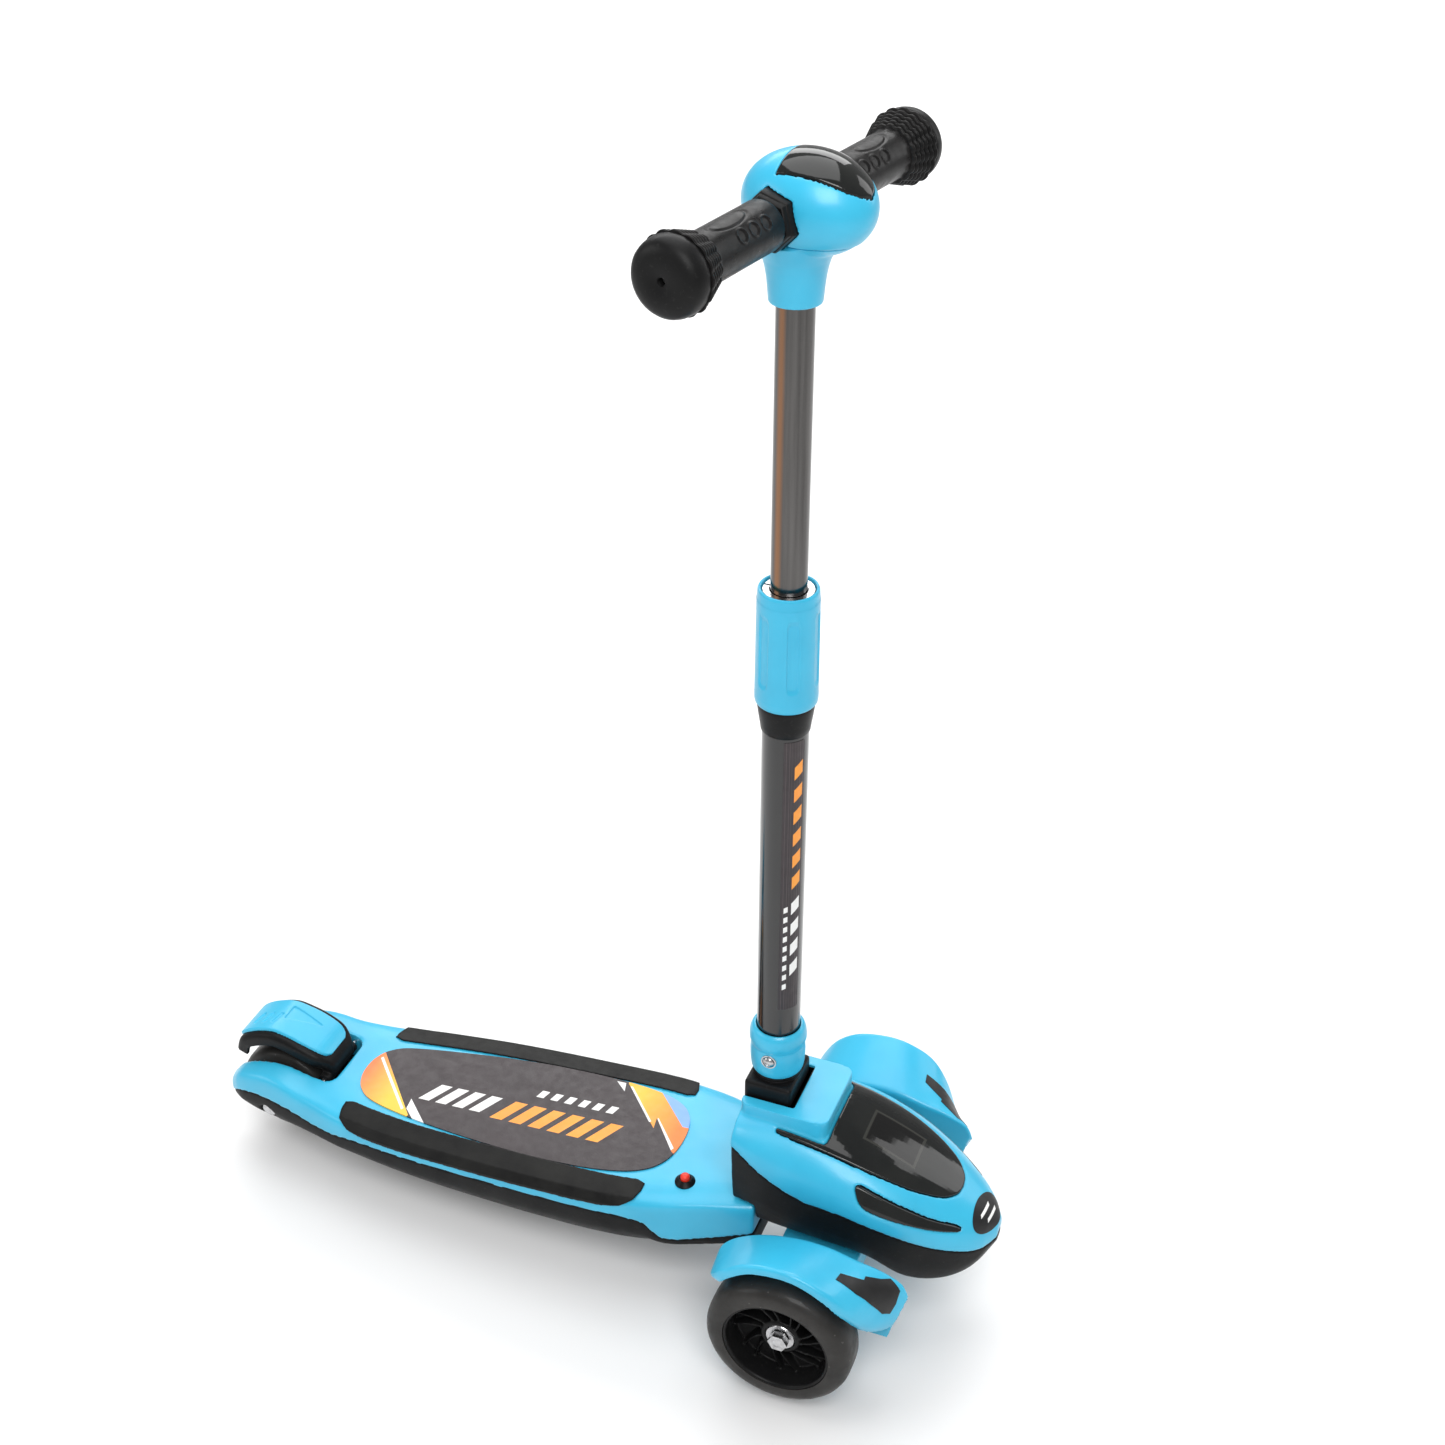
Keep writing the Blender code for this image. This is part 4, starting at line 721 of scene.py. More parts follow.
def deck_top_ring(x):
    """Half of the crowned top with its rolled shoulder, mirrored."""
    half = smooth_curve(DECK_HALF_WIDTH, x)
    top = smooth_curve(DECK_TOP, x)
    foot = smooth_curve(DECK_SEAM, x)
    shoulder = top - 0.0075
    bend = flowing(
        [
            (half, (foot + shoulder) / 2), (half - 0.0005, shoulder),
            (half - 0.0045, shoulder + 0.0045), (half - 0.0180, top - 0.0006), (half * 0.3, top),
        ],
        4,
    )
    side = [(half, foot), *(tuple(point) for point in bend)]
    return both_sides(x, side)


def hull_ring(x):
    half = smooth_curve(DECK_HALF_WIDTH, x) - 0.0015
    top = smooth_curve(DECK_SEAM, x) - GAP
    bottom = smooth_curve(DECK_BOTTOM, x)
    bend = flowing(
        [
            (half, top), (half - 0.0015, (top + bottom) / 2), (half - 0.0085, bottom + 0.0040),
            (half - 0.0135, bottom),
        ],
        4,
    )
    side = [tuple(point) for point in bend]
    return both_sides(x, side)


def walked(path, stop):
    """The point of a path at a number of legs from its start."""
    leg = min(int(stop), len(path) - 2)
    (y0, z0), (y1, z1) = path[leg], path[leg + 1]
    return y0 + (y1 - y0) * (stop - leg), z0 + (z1 - z0) * (stop - leg)


def strip_ring(x, side, ends):
    """A strip's section: it lies on the deck's edge and, away from its ends, wraps over it."""
    half = smooth_curve(DECK_HALF_WIDTH, x)
    top = smooth_curve(DECK_TOP, x)
    from_end = min(x - ends[0], ends[1] - x)
    inner = half - 0.0220 + 0.0030 * (1 - eased(0.0, 0.008, from_end))
    base = [
        (inner, top - 0.0002), (half - 0.0042, top - 0.0024), (half + 0.0000, top - 0.0071),
        (half + 0.0002, top - 0.0090),
    ]
    rise = eased(-0.0015, 0.0030, from_end)
    skin = [
        (inner, top + 0.0002 + 0.0012 * rise), (half - 0.0036, top - 0.0018 + 0.0011 * rise),
        (half + 0.0003 + 0.0011 * rise, top - 0.0062), (half + 0.0003 + 0.0013 * rise, top - 0.0090),
    ]
    shortest = 0.50
    wrap = shortest + (3 - shortest) * min(max(from_end, 0.0) / 0.028, 1.0) ** 0.62
    stops = [wrap * k / 12 for k in range(13)]
    lower = [walked(base, stop) for stop in stops]
    upper = [walked(skin, stop) for stop in stops]
    return [(x, side * y, z) for y, z in lower + upper[::-1]]


def slanted(x, y, width, height, lean=0.55):
    """A leaning bar, as a region of a print."""
    reach, rise = width / 2, height / 2
    return [
        (x - reach - lean * rise, y - rise), (x + reach - lean * rise, y - rise),
        (x + reach + lean * rise, y + rise), (x - reach + lean * rise, y + rise),
    ]


def make_deck():
    top = loft("deck_shell", [deck_top_ring(x) for x in spaced(*DECK_ENDS, 110)])
    notch = rounded([(-0.36, 0.0280), (-0.36, -0.0280), (-0.2240, -0.0280), (-0.2240, 0.0280)], 0.0125, 14)
    cut(top, prism("notch", notch, 0.0, 0.2))
    moulded(top, DECK_VOXEL, 3)
    piece(top, "deck", blue, ["deck_top"])
    skin = skin_of(top)

    hull = loft("deck_tray", [hull_ring(x) for x in spaced(*DECK_ENDS, 110)])
    x, _, z = REAR_AXLE
    cutters = [block("wheel_well", (-0.36, -0.0205, 0.0), (-0.2345, 0.0205, 0.1))]
    cutters.append(block("hatch_seat", (-0.0356, -0.0306, 0.02), (0.0356, 0.0306, 0.0392)))
    for side, sign in SIDES:
        cutters.append(rod("bore_" + side, (x, sign * 0.0365, z), (x, sign * 0.07, z), 0.0074))
        for rib_x in spaced(-0.190, 0.090, 6):  # weight-saving pockets under the tray
            if abs(rib_x) > 0.04:
                low, high = sorted((sign * 0.0060, sign * 0.0330))
                cutters.append(block("pocket", (rib_x - 0.021, low, 0.0), (rib_x + 0.021, high, 0.0375)))
    moulded(hull, DECK_VOXEL, 0)
    cut(hull, *cutters)
    moulded(hull, DECK_VOXEL, 3)
    piece(hull, "deck", hull_black, ["deck_hull"])

    half = [
        (0.0705, 0.0), (0.0690, 0.0150), (0.0640, 0.0275), (0.0540, 0.0375), (0.0350, 0.0450),
        (0.0000, 0.0495), (-0.0500, 0.0500), (-0.1000, 0.0465), (-0.1500, 0.0400),
        (-0.1850, 0.0325), (-0.1990, 0.0240), (-0.2055, 0.0130), (-0.2075, 0.0),
    ]
    outline = [tuple(point) for point in flowing(mirrored(half), 8, closed=True)]
    rear = [(-0.1990, 0.0174), (-0.1488, -0.0387), (-0.1600, -0.0700), (-0.2400, -0.0600), (-0.2400, 0.0500)]
    regions = [
        (rear + [(-0.2300, 0.0520)], 1),
        ([(-0.2009, 0.0152), (-0.1559, -0.0330), (-0.1573, -0.0348), (-0.2022, 0.0131)], 4),
        ([(-0.1552, -0.0213), (-0.1325, -0.0429), (-0.1408, -0.0442), (-0.1538, -0.0323)], 4),
        (
            [
                (0.0041, 0.0475), (0.0431, 0.0055), (0.0412, 0.0168), (0.0664, -0.0146),
                (0.0900, -0.0300), (0.0900, 0.0600), (0.0000, 0.0600),
            ],
            2,
        ),
        ([(0.0339, 0.0454), (0.0643, 0.0131), (0.0900, 0.0131), (0.0900, 0.0600), (0.0200, 0.0600)], 5),
        ([(0.0086, 0.0452), (0.0385, 0.0120), (0.0372, 0.0108), (0.0066, 0.0449)], 4),
        ([(0.0425, 0.0172), (0.0668, -0.0108), (0.0655, -0.0135), (0.0420, 0.0160)], 4),
        ([(-0.0061, 0.0475), (0.0018, 0.0475), (0.0044, 0.0380)], 4),
    ]
    for i in range(4):
        regions.append((slanted(-0.1400 + 0.0150 * i, -0.0090, 0.0095, 0.0200), 4))
    for i in range(6):
        regions.append((slanted(-0.0740 + 0.0165 * i, -0.0105, 0.0105, 0.0225), 3))
    for i in range(6):
        regions.append((slanted(-0.0560 + 0.0120 * i, 0.0150, 0.0062, 0.0080, 0.3), 4))
    inks = [ink_dark, ink_amber_rear, ink_amber_front, ink_orange, ink_white, ink_violet]
    mat = print_sheet("deck_print", outline, regions, inks, dropped(skin), 0.0001, 0.0012)
    piece(mat, "deck", None, ["deck_mat"])
    ends = (-0.2040, 0.0600)
    for side, sign in SIDES:
        rings = [strip_ring(x, sign, ends) for x in spaced(*ends, 90)]
        strip = moulded(loft("edge_strip_" + side, rings), SMALL_VOXEL, 3)
        piece(strip, "deck", strip_rubber, ["side_strip_" + side])
    make_button()
    return skin


def make_button():
    deck_z = smooth_curve(DECK_TOP, BUTTON[0])
    at = (*BUTTON, deck_z)
    bezel = [
        (0.0040, -0.0010), (0.0040, 0.0030), (0.0044, 0.0034), (0.0050, 0.0034), (0.0055, 0.0029),
        (0.0072, 0.0008), (0.0078, 0.0004), (0.0078, -0.0010),
    ]
    piece(turned("button_cone", bezel, at=at, sides=48), "deck", black, ["button_bezel"])
    cap = [
        (0.0, 0.0068), (0.0018, 0.0067), (0.0029, 0.0063), (0.0034, 0.0057), (0.0036, 0.0048),
        (0.0036, -0.0060), (0.0, -0.0060),
    ]
    button = turned("push_cap", cap, at=at, sides=48)
    piece(button, "light_button", red, ["light_button"])


# Tail -----------------------------------------------------------------------------------------
def with_normals(path):
    """Each point of an arched path in the XZ plane, with its outward normal."""
    points = [Vector((point[0], 0.0, point[1])) for point in path]
    middle = points[0].lerp(points[-1], 0.5)
    found = []
    for i, point in enumerate(points):
        along = points[min(i + 1, len(points) - 1)] - points[max(i - 1, 0)]
        normal = Vector((-along.z, 0.0, along.x)).normalized()
        found.append((point, normal if normal.dot(point - middle) > 0 else -normal))
    return found


def channel_section(low_y, high_y, wall, low_lip, high_lip, edge=0.0034):
    """A cover with rounded edges, both of its sides turned down."""
    arc = [(1 - math.cos(t), 1 - math.sin(t)) for t in spaced(0.0, math.pi / 2, 6)]
    rise = [(low_y + edge * u, -edge * v) for u, v in arc]
    fall = [(high_y - edge * u, -edge * v) for u, v in reversed(arc)]
    return [
        (low_y, -low_lip), *rise, *fall, (high_y, -high_lip), (high_y - wall, -high_lip),
        (high_y - wall, -wall - 0.001), (low_y + wall, -wall - 0.001), (low_y + wall, -low_lip),
    ]


def arched(name, path, sections):
    rings = [
        [tuple(point + normal * out + Vector((0.0, y, 0.0))) for y, out in section]
        for (point, normal), section in zip(path, sections)
    ]
    return loft(name, rings)


def make_brake():
    fine = flowing(BRAKE_PATH, 6)
    widths = [float(point[0]) for point in flowing([(w, 0.0) for w in BRAKE_WIDTHS], 6)]
    path = with_normals(fine)
    sections = [channel_section(-w, w, 0.0035, 0.0110, 0.0110, 0.0045) for w in widths]
    cover = arched("brake_hood", path, sections)
    low = BRAKE_PIVOT + Vector((-0.0025, -0.0170, -0.0015))
    high = BRAKE_PIVOT + Vector((0.0050, 0.0170, 0.0080))
    reach = Vector((0.0, 0.0225, 0.0))
    fused(
        cover,
        block("shoe", (-0.2920, -0.0130, 0.0868), (-0.2660, 0.0130, 0.1035)),
        block("knuckle", low, high),
        rod("barrel", BRAKE_PIVOT - reach, BRAKE_PIVOT + reach, 0.0050),
    )
    moulded(cover, SMALL_VOXEL, 3)
    piece(cover, "brake", black, ["brake_cover"])

    first, last = 9, len(path) - 5

    def tread_section(i, thick=0.0024):
        """A pillow whose width narrows to round ends."""
        t = (i - first) / (last - first)
        round_end = math.sqrt(max(1 - ((2 * t - 1) ** 2) ** 4, 0.0))
        w = (widths[i] - 0.0052) * (0.72 + 0.28 * round_end)
        return [(-w, 0.0001), (-w + 0.0012, thick), (w - 0.0012, thick), (w, 0.0001)]

    tread = arched("brake_pad_skin", path[first:last], [tread_section(i) for i in range(first, last)])
    recesses = []
    for i in range(3):  # slanted finger grooves near the rear
        x = -0.3050 + 0.0085 * i
        recesses.append([(x, -0.0110), (x + 0.0035, -0.0110), (x + 0.0065, 0.0020), (x + 0.0030, 0.0020)])
    recesses.append([(-0.2790, 0.0125), (-0.2790, -0.0040), (-0.2475, 0.0065)])  # a forward arrow
    for corners in recesses:
        cutter = prism("recess", rounded(corners, 0.0012), 0.06, 0.12)
        cut(cutter, recess_floor("recess_floor", path, widths))
        cut(tread, cutter)
    moulded(tread, SMALL_VOXEL * 0.8, 2)
    piece(tread, "brake", blue, ["brake_tread"])


def recess_floor(name, path, widths):
    """What a recess in the tread leaves standing, 1 mm under its face."""
    under = [(-0.0260, -0.0600), (-0.0260, 0.0013), (0.0260, 0.0013), (0.0260, -0.0600)]
    return arched(name, path[8:-3], [under for _ in widths[8:-3]])


def make_rear_wheel():
    rim, half = 0.0282, 0.0170
    at = REAR_AXLE
    tyre = [
        (rim, half - 0.0002), (rim, -half + 0.0002), (0.0330, -half), (0.0362, -half + 0.0008),
        (0.0383, -half + 0.0024), (0.0395, -half + 0.0048), (0.0400, -half + 0.0080),
        (0.0400, half - 0.0080), (0.0395, half - 0.0048), (0.0383, half - 0.0024),
        (0.0362, half - 0.0008), (0.0330, half),
    ]
    piece(turned("rear_tread", tyre, "Y", at), "rear_wheel", tyre_rubber, ["rear_tyre"])
    hub = [
        (rim, half - 0.0005), (rim, -half + 0.0005), (0.0255, -half + 0.0005),
        (0.0245, -half + 0.0015), (0.0240, -0.0040), (0.0225, -0.0030), (0.0165, -0.0030),
        (0.0150, -0.0042), (0.0150, -half + 0.0012), (0.0144, -half + 0.0005),
        (0.0113, -half + 0.0005), (0.0113, half - 0.0005), (0.0144, half - 0.0005),
        (0.0150, half - 0.0012), (0.0150, 0.0042), (0.0165, 0.0030), (0.0225, 0.0030),
        (0.0240, 0.0040), (0.0245, half - 0.0015), (0.0255, half - 0.0005),
    ]
    core = turned("rear_wheel_core", hub, "Y", at)
    piece(core, "rear_wheel", hub_black, ["rear_hub"])


# Front wheels ---------------------------------------------------------------------------------
def make_front_wheel(side, sign):
    x, _, z = FRONT_AXLE
    at = (x, 0.0, z)
    body = "front_wheel_" + side
    low, high, rim = 0.0975, 0.1315, 0.0400

    def sided(profile):
        return [(radius, sign * y) for radius, y in profile]

    tyre = sided(
        [
            (rim, high - 0.0002), (rim, low + 0.0002), (0.0440, low), (0.0480, low + 0.0006),
            (0.0512, low + 0.0022), (0.0534, low + 0.0048), (0.0546, low + 0.0080),
            (0.0550, low + 0.0120), (0.0550, high - 0.0120), (0.0546, high - 0.0080),
            (0.0534, high - 0.0048), (0.0512, high - 0.0022), (0.0480, high - 0.0006),
            (0.0440, high),
        ]
    )
    piece(turned("front_tread_" + side, tyre, "Y", at), body, tyre_rubber, ["front_tyre_" + side])
    rim_ring = sided(
        [
            (rim, 0.1308), (rim, 0.0982), (0.0388, 0.0982), (0.0372, 0.1000), (0.0366, 0.1200),
            (0.0376, 0.1295), (0.0386, 0.1308),
        ]
    )
    boss = sided(
        [
            (0.0150, low), (0.0113, low), (0.0113, 0.1198), (0.0136, 0.1200), (0.0150, 0.1188),
        ]
    )
    web = sided([(0.0145, 0.1052), (0.0145, 0.1082), (0.0375, 0.1120), (0.0375, 0.1090)])
    core = turned("front_wheel_core_" + side, rim_ring, "Y", at)
    parts = [turned("boss", boss, "Y", at), turned("web", web, "Y", at)]
    for i in range(14):
        pair_turn = 2 * math.pi * (i // 2) / 7 + (0.17 if i % 2 else -0.17)
        parts.append(spoke(pair_turn, sign, at))
    fused(core, *parts)
    moulded(core, SMALL_VOXEL * 1.15, 2)
    piece(core, body, hub_black, ["front_hub_" + side])
    cap = sided([(0.0, 0.1264), (0.0030, 0.1264), (0.0042, 0.1258), (0.0042, 0.1190), (0.0, 0.1190)])
    nut = turned("axle_end_" + side, cap, "Y", at, 32)
    piece(nut, "truck", steel)
    shield = sided([(0.0070, 0.1190), (0.0070, 0.1197), (0.0105, 0.1199), (0.0111, 0.1190)])
    piece(turned("bearing_shield_" + side, shield, "Y", at, 48), body, steel)


def spoke(turn, sign, at):
    """A curved rib from the boss to the rim, deeper at the boss."""
    rings = []
    for t in spaced(0.0, 1.0, 12):
        radius = 0.0138 + (0.0376 - 0.0138) * t
        angle = turn + sign * 0.55 * (t - 0.25 * t * t) * -1
        centre = Vector((radius * math.cos(angle), 0.0, radius * math.sin(angle)))
        along = Vector((math.cos(angle), 0.0, math.sin(angle)))
        across = Vector((-along.z, 0.0, along.x))
        half = 0.0012
        top = 0.1190 - 0.0025 * t
        foot = 0.1070 + 0.0030 * t
        corners = [(-half, foot), (half, foot), (half * 0.7, top), (-half * 0.7, top)]
        rings.append(
            [tuple(Vector(at) + centre + across * a + Vector((0.0, sign * y, 0.0))) for a, y in corners]
        )
    return loft("spoke", rings)


# Nose -----------------------------------------------------------------------------------------
def nose_ring(x, inset=0.0, drop=0.0, points=41):
    """An arch from the seam over the top, with its shoulders fuller than an ellipse's."""
    half = smooth_curve(NOSE_HALF_WIDTH, x) - inset
    low = smooth_curve(NOSE_SEAM, x) - drop
    high = smooth_curve(NOSE_TOP, x) - inset
    ring = []
    for turn in spaced(0.0, math.pi, points):
        across = math.copysign(abs(math.cos(turn)) ** 0.75, math.cos(turn))
        ring.append((x, half * across, low + (high - low) * math.sin(turn) ** 0.85))
    return ring


def nose_loft(name, inset=0.0, drop=0.0):
    return loft(name, [nose_ring(x, inset, drop) for x in spaced(*NOSE_ENDS, 56)])


def lower_nose_ring(x):
    half = smooth_curve(NOSE_HALF_WIDTH, x) - 0.0012
    top = smooth_curve(NOSE_SEAM, x) - GAP
    bottom = smooth_curve(NOSE_BOTTOM, x)
    bend = flowing(
        [
            (half, top), (half * 0.95, top * 0.45 + bottom * 0.55), (half * 0.84, bottom + 0.004),
            (half * 0.72, bottom),
        ],
        4,
    )
    side = [tuple(point) for point in bend]
    return both_sides(x, side)


def window_outline():
    """The hood window in plan: a shield with two tails that flank the stem's frame."""
    tip = [
        (0.2905, 0.0), (0.2885, 0.0100), (0.2800, 0.0205), (0.2650, 0.0285), (0.2500, 0.0330),
        (0.2300, 0.0365), (0.2100, 0.0378), (0.1850, 0.0378), (0.1650, 0.0374),
    ]
    inner_y = FRAME_HALF_Y + 0.0012
    tail = [(0.1588, 0.0368), (0.1570, 0.0356), (0.1585, inner_y + 0.0002)]
    corner = [
        (0.1900, inner_y), (0.1935, inner_y - 0.0006), (0.1953, inner_y - 0.0026),
        (0.1957, inner_y - 0.0060),
    ]
    curve = [tuple(point) for point in flowing(tip, 6)]
    return mirrored(curve + tail + corner)


def headlight_outline():
    """A headlight lens seen from the side, in X and Z."""
    corners = [
        (0.2236, 0.1482), (0.2365, 0.1436), (0.2575, 0.1343), (0.2749, 0.1260), (0.2937, 0.1172),
        (0.2948, 0.1140), (0.2603, 0.1242), (0.2372, 0.1316), (0.2290, 0.1362), (0.2244, 0.1430),
    ]
    return [tuple(point) for point in flowing(corners, 5, closed=True)]


def lens_from(name, prism_of, outline, material, node):
    """A smoked lens: the nose's skin within an outline, standing a hair proud of its groove."""
    lens_piece = prism_of(name, outline)
    common(lens_piece, nose_loft(name + "_outer", -0.0002))
    cut(lens_piece, nose_loft(name + "_inner", LENS_DEPTH, 0.02))
    moulded(lens_piece, SMALL_VOXEL, 2)
    return piece(lens_piece, "deck", material, [node])


def stem_well():
    """The room that both shells leave for the folding block."""
    return block("stem_well", (0.11, -WELL_HALF_Y, 0.1262), (0.1667, WELL_HALF_Y, 0.25))


def make_nose():
    upper = nose_loft("hood_shell")
    frame_outline = rounded(
        [
            (NOSE_ENDS[0], -FRAME_HALF_Y), (FRAME_FRONT_X, -FRAME_HALF_Y),
            (FRAME_FRONT_X, FRAME_HALF_Y), (NOSE_ENDS[0], FRAME_HALF_Y),
        ],
        0.009,
    )

    def window_prism(name, outline):
        return prism(name, outline, 0.08, 0.19)

    def side_prism(sign):
        low, high = sorted((sign * 0.02, sign * 0.08))
        return lambda name, outline: prism(name, outline, low, high, plane="XZ")

    rooms = [window_prism("window_room", grown(window_outline(), LENS_GROOVE))]
    rooms += [side_prism(s)("light_room", grown(headlight_outline(), LENS_GROOVE)) for _, s in SIDES]
    for room in rooms:
        cut(room, nose_loft("room_floor", LENS_DEPTH + 0.0008, 0.02))
    cut(upper, *rooms)
    stem_frame = prism("stem_frame", frame_outline, 0.1450, FRAME_TOP_Z)
    fused(upper, stem_frame)
    moulded(upper, BODY_VOXEL, 0)
    cut(upper, stem_well())
    moulded(upper, BODY_VOXEL, 4)
    piece(upper, "deck", blue, ["shell_upper"])
    lens_from("hood_lens", window_prism, window_outline(), hood_lens, "hood_window")
    for side, sign in SIDES:
        lens_from("side_lens_" + side, side_prism(sign), headlight_outline(), lens, "headlight_" + side)

    lower = loft("chin_shell", [lower_nose_ring(x) for x in spaced(*NOSE_ENDS, 56)])
    moulded(lower, BODY_VOXEL * 1.2, 0)
    cut(
        lower,
        block("over_deck", (0.10, -0.07, 0.05), (0.1452 + 0.0006, 0.07, 0.0992)),
        stem_well(),
        rod("truck_room", TRUCK_PIVOT, TRUCK_PIVOT + TRUCK_LEAN * 0.0204, 0.0142),
    )
    moulded(lower, BODY_VOXEL * 1.2, 4)
    piece(lower, "deck", hull_black, ["shell_lower"])

    outer, thick, rear, front = 0.0237, 0.0006, 0.1290, 0.1664
    inner = outer - thick
    walls = [
        (rear, -outer), (front, -outer), (front, outer), (rear, outer), (rear, inner),
        (front - thick, inner), (front - thick, -inner), (rear, -inner),
    ]
    piece(prism("well_lining", walls, 0.1300, 0.1812), "deck", black)
    make_badge(skin_of(upper))


def make_badge(skin):
    """A plain oval sticker on the tip of the nose, with two leaning strokes for its print."""
    facing = Vector((0.80, -0.06, 0.60)).normalized()
    across = Vector((0.0, 0.0, 1.0)).cross(facing).normalized()
    along = facing.cross(across)
    origin = Vector((0.3080, -0.0040, 0.1115))
    oval = [(0.0185 * math.cos(t), 0.0115 * math.sin(t)) for t in spaced(0.0, 2 * math.pi, 49)[:-1]]
    strokes = [(slanted(x, y, 0.0150, 0.0022, 0.9), 1) for x, y in ((-0.0010, 0.0030), (0.0015, -0.0030))]
    place = dropped(skin, -facing, origin, across, along)
    inks = [sticker_black, ink_white]
    badge = print_sheet("nose_sticker", oval, strokes, inks, place, 0.0001, 0.0003, 0.0012)
    piece(badge, "deck", None)


# Steering truck -------------------------------------------------------------------------------
def make_truck():
    x = FRONT_AXLE[0]
    beam = block("cross_member", (x - 0.0280, -0.0824, 0.0460), (x + 0.0330, 0.0824, 0.0680))
    bevelled(beam, 0.0050, 4)
    boss = rod("boss", TRUCK_PIVOT - TRUCK_LEAN * 0.0150, TRUCK_PIVOT + TRUCK_LEAN * 0.0155, 0.0130)
    fused(beam, boss)
    moulded(beam, BODY_VOXEL * 1.2, 3)
    piece(beam, "truck", blue, ["truck_beam"])
    for side, sign in SIDES:
        make_fender(side, sign)


def make_fender(side, sign):
    x = FRONT_AXLE[0]
    edge = flowing(FENDER_OUTER, 7)
    outer = with_normals([(x + p[0], p[1]) for p in edge])
    inner = with_normals([(x + p[0], p[1]) for p in flowing(FENDER_INNER, 7)])
    rings = []
    for (inner_at, inner_normal), (outer_at, outer_normal), (_, _, reach) in zip(inner, outer, edge):
        ring = []
        for y, out in channel_section(FENDER_IN_Y, reach, WALL, 0.0120, 0.0080, 0.0032):
            t = (y - FENDER_IN_Y) / (reach - FENDER_IN_Y)
            normal = inner_normal.lerp(outer_normal, t).normalized()
            point = inner_at.lerp(outer_at, t) + normal * out
            ring.append((point.x, sign * y, point.z))
        rings.append(ring)
    fender = loft("mudguard_" + side, rings)
    skirt = [(p.x - n.x * 0.004, p.z - n.z * 0.004) for p, n in inner]
    skirt += [(x + 0.0700, 0.0480), (x - 0.0350, 0.0420)]
    low, high = sorted((sign * FENDER_IN_Y, sign * (FENDER_IN_Y + WALL)))
    fused(fender, prism("skirt", skirt, low, high, plane="XZ"))
    moulded(fender, BODY_VOXEL, 4)
    piece(fender, "truck", blue, ["fender_" + side])
    sticker = [
        (0.2300, 0.1112), (0.2311, 0.1036), (0.2448, 0.0981), (0.2466, 0.0972), (0.2467, 0.0942),
        (0.2567, 0.0895), (0.2627, 0.0858), (0.2706, 0.0872), (0.2694, 0.0922), (0.2668, 0.0972),
        (0.2624, 0.1020), (0.2550, 0.1062), (0.2451, 0.1100),
    ]
    outline = [(u, sign * v) for u, v in sticker]
    name, place = "mudguard_sticker_" + side, dropped(skin_of(fender))
    sheet = print_sheet(name, outline, [], [sticker_black], place, 0.0001, 0.0003, 0.0015)
    piece(sheet, "truck", None)


# Stem -----------------------------------------------------------------------------------------
def make_stem():
    half_x, half_y = BLOCK_HALF
    rear = STEM_X - half_x
    base = block("stem_socket", (rear, -half_y, FOLD_Z), (STEM_X + half_x, half_y, 0.1955))
    within = 0.0003  # how far the heel stands inside the block's faces
    ends = [(STEM_X, y, FOLD_Z) for y in (-half_y + within, half_y - within)]
    heel = rod("heel", *ends, half_x - within, 64)
    bevelled(base, 0.0028, 4)
    fused(base, heel)
    moulded(base, SMALL_VOXEL, 0)
    cut(base, block("latch_pocket", (rear - 0.0060, -0.0083, 0.1577), (rear + 0.0100, 0.0083, 0.1668)))
    moulded(base, SMALL_VOXEL, 3)
    piece(base, "stem", black, ["base_block"])
    rings = [
        (0.0, 0.1940), (0.0176, 0.1940), (0.0179, 0.1950), (0.0177, 0.1962), (0.0170, 0.1966),
        (0.0170, 0.1974), (0.0178, 0.1978), (0.0181, 0.1986), (0.0178, 0.1996), (0.0168, BLOCK_TOP_Z),
        (0.0, BLOCK_TOP_Z),
    ]
    at = (STEM_X, 0.0, 0.0)
    piece(turned("socket_neck", rings, at=at), "stem", black)
    collar = [
        (0.0160, 0.2380), (0.0164, 0.2390), (0.0174, 0.2391), (0.0184, 0.2384), (0.0194, 0.2368),
        (0.0203, 0.2340), (0.0207, 0.2304), (0.0206, 0.2272), (0.0200, 0.2252), (0.0195, 0.2240),
        (0.0194, 0.2228), (0.0197, 0.2205), (0.0200, 0.2160), (0.0199, 0.2110), (0.0196, 0.2060),
        (0.0191, 0.2022), (0.0184, 0.2006), (0.0176, 0.2003), (0.0160, 0.2003),
    ]
    piece(turned("stem_ring", collar, at=at), "stem", blue, ["collar"])
    make_bolt()
    tube = [(0.0135, 0.5250), (LOWER_TUBE_R, 0.5250), (LOWER_TUBE_R, 0.1703), (0.0135, 0.1703)]
    piece(turned("lower_post", tube, at=at), "stem", paint, ["lower_tube"])
    ferrule = [
        (0.0157, 0.4922), (0.0157, 0.5850), (0.0180, 0.5850), (0.0180, 0.5138), (0.0188, 0.5136),
        (0.0190, 0.5126), (0.0189, 0.5105), (0.0180, 0.5040), (0.0170, 0.4975), (0.0164, 0.4930),
    ]
    piece(turned("clamp_cone", ferrule, at=at), "stem", black, ["clamp_ferrule"])
    make_sleeve(at)
    make_post_print()


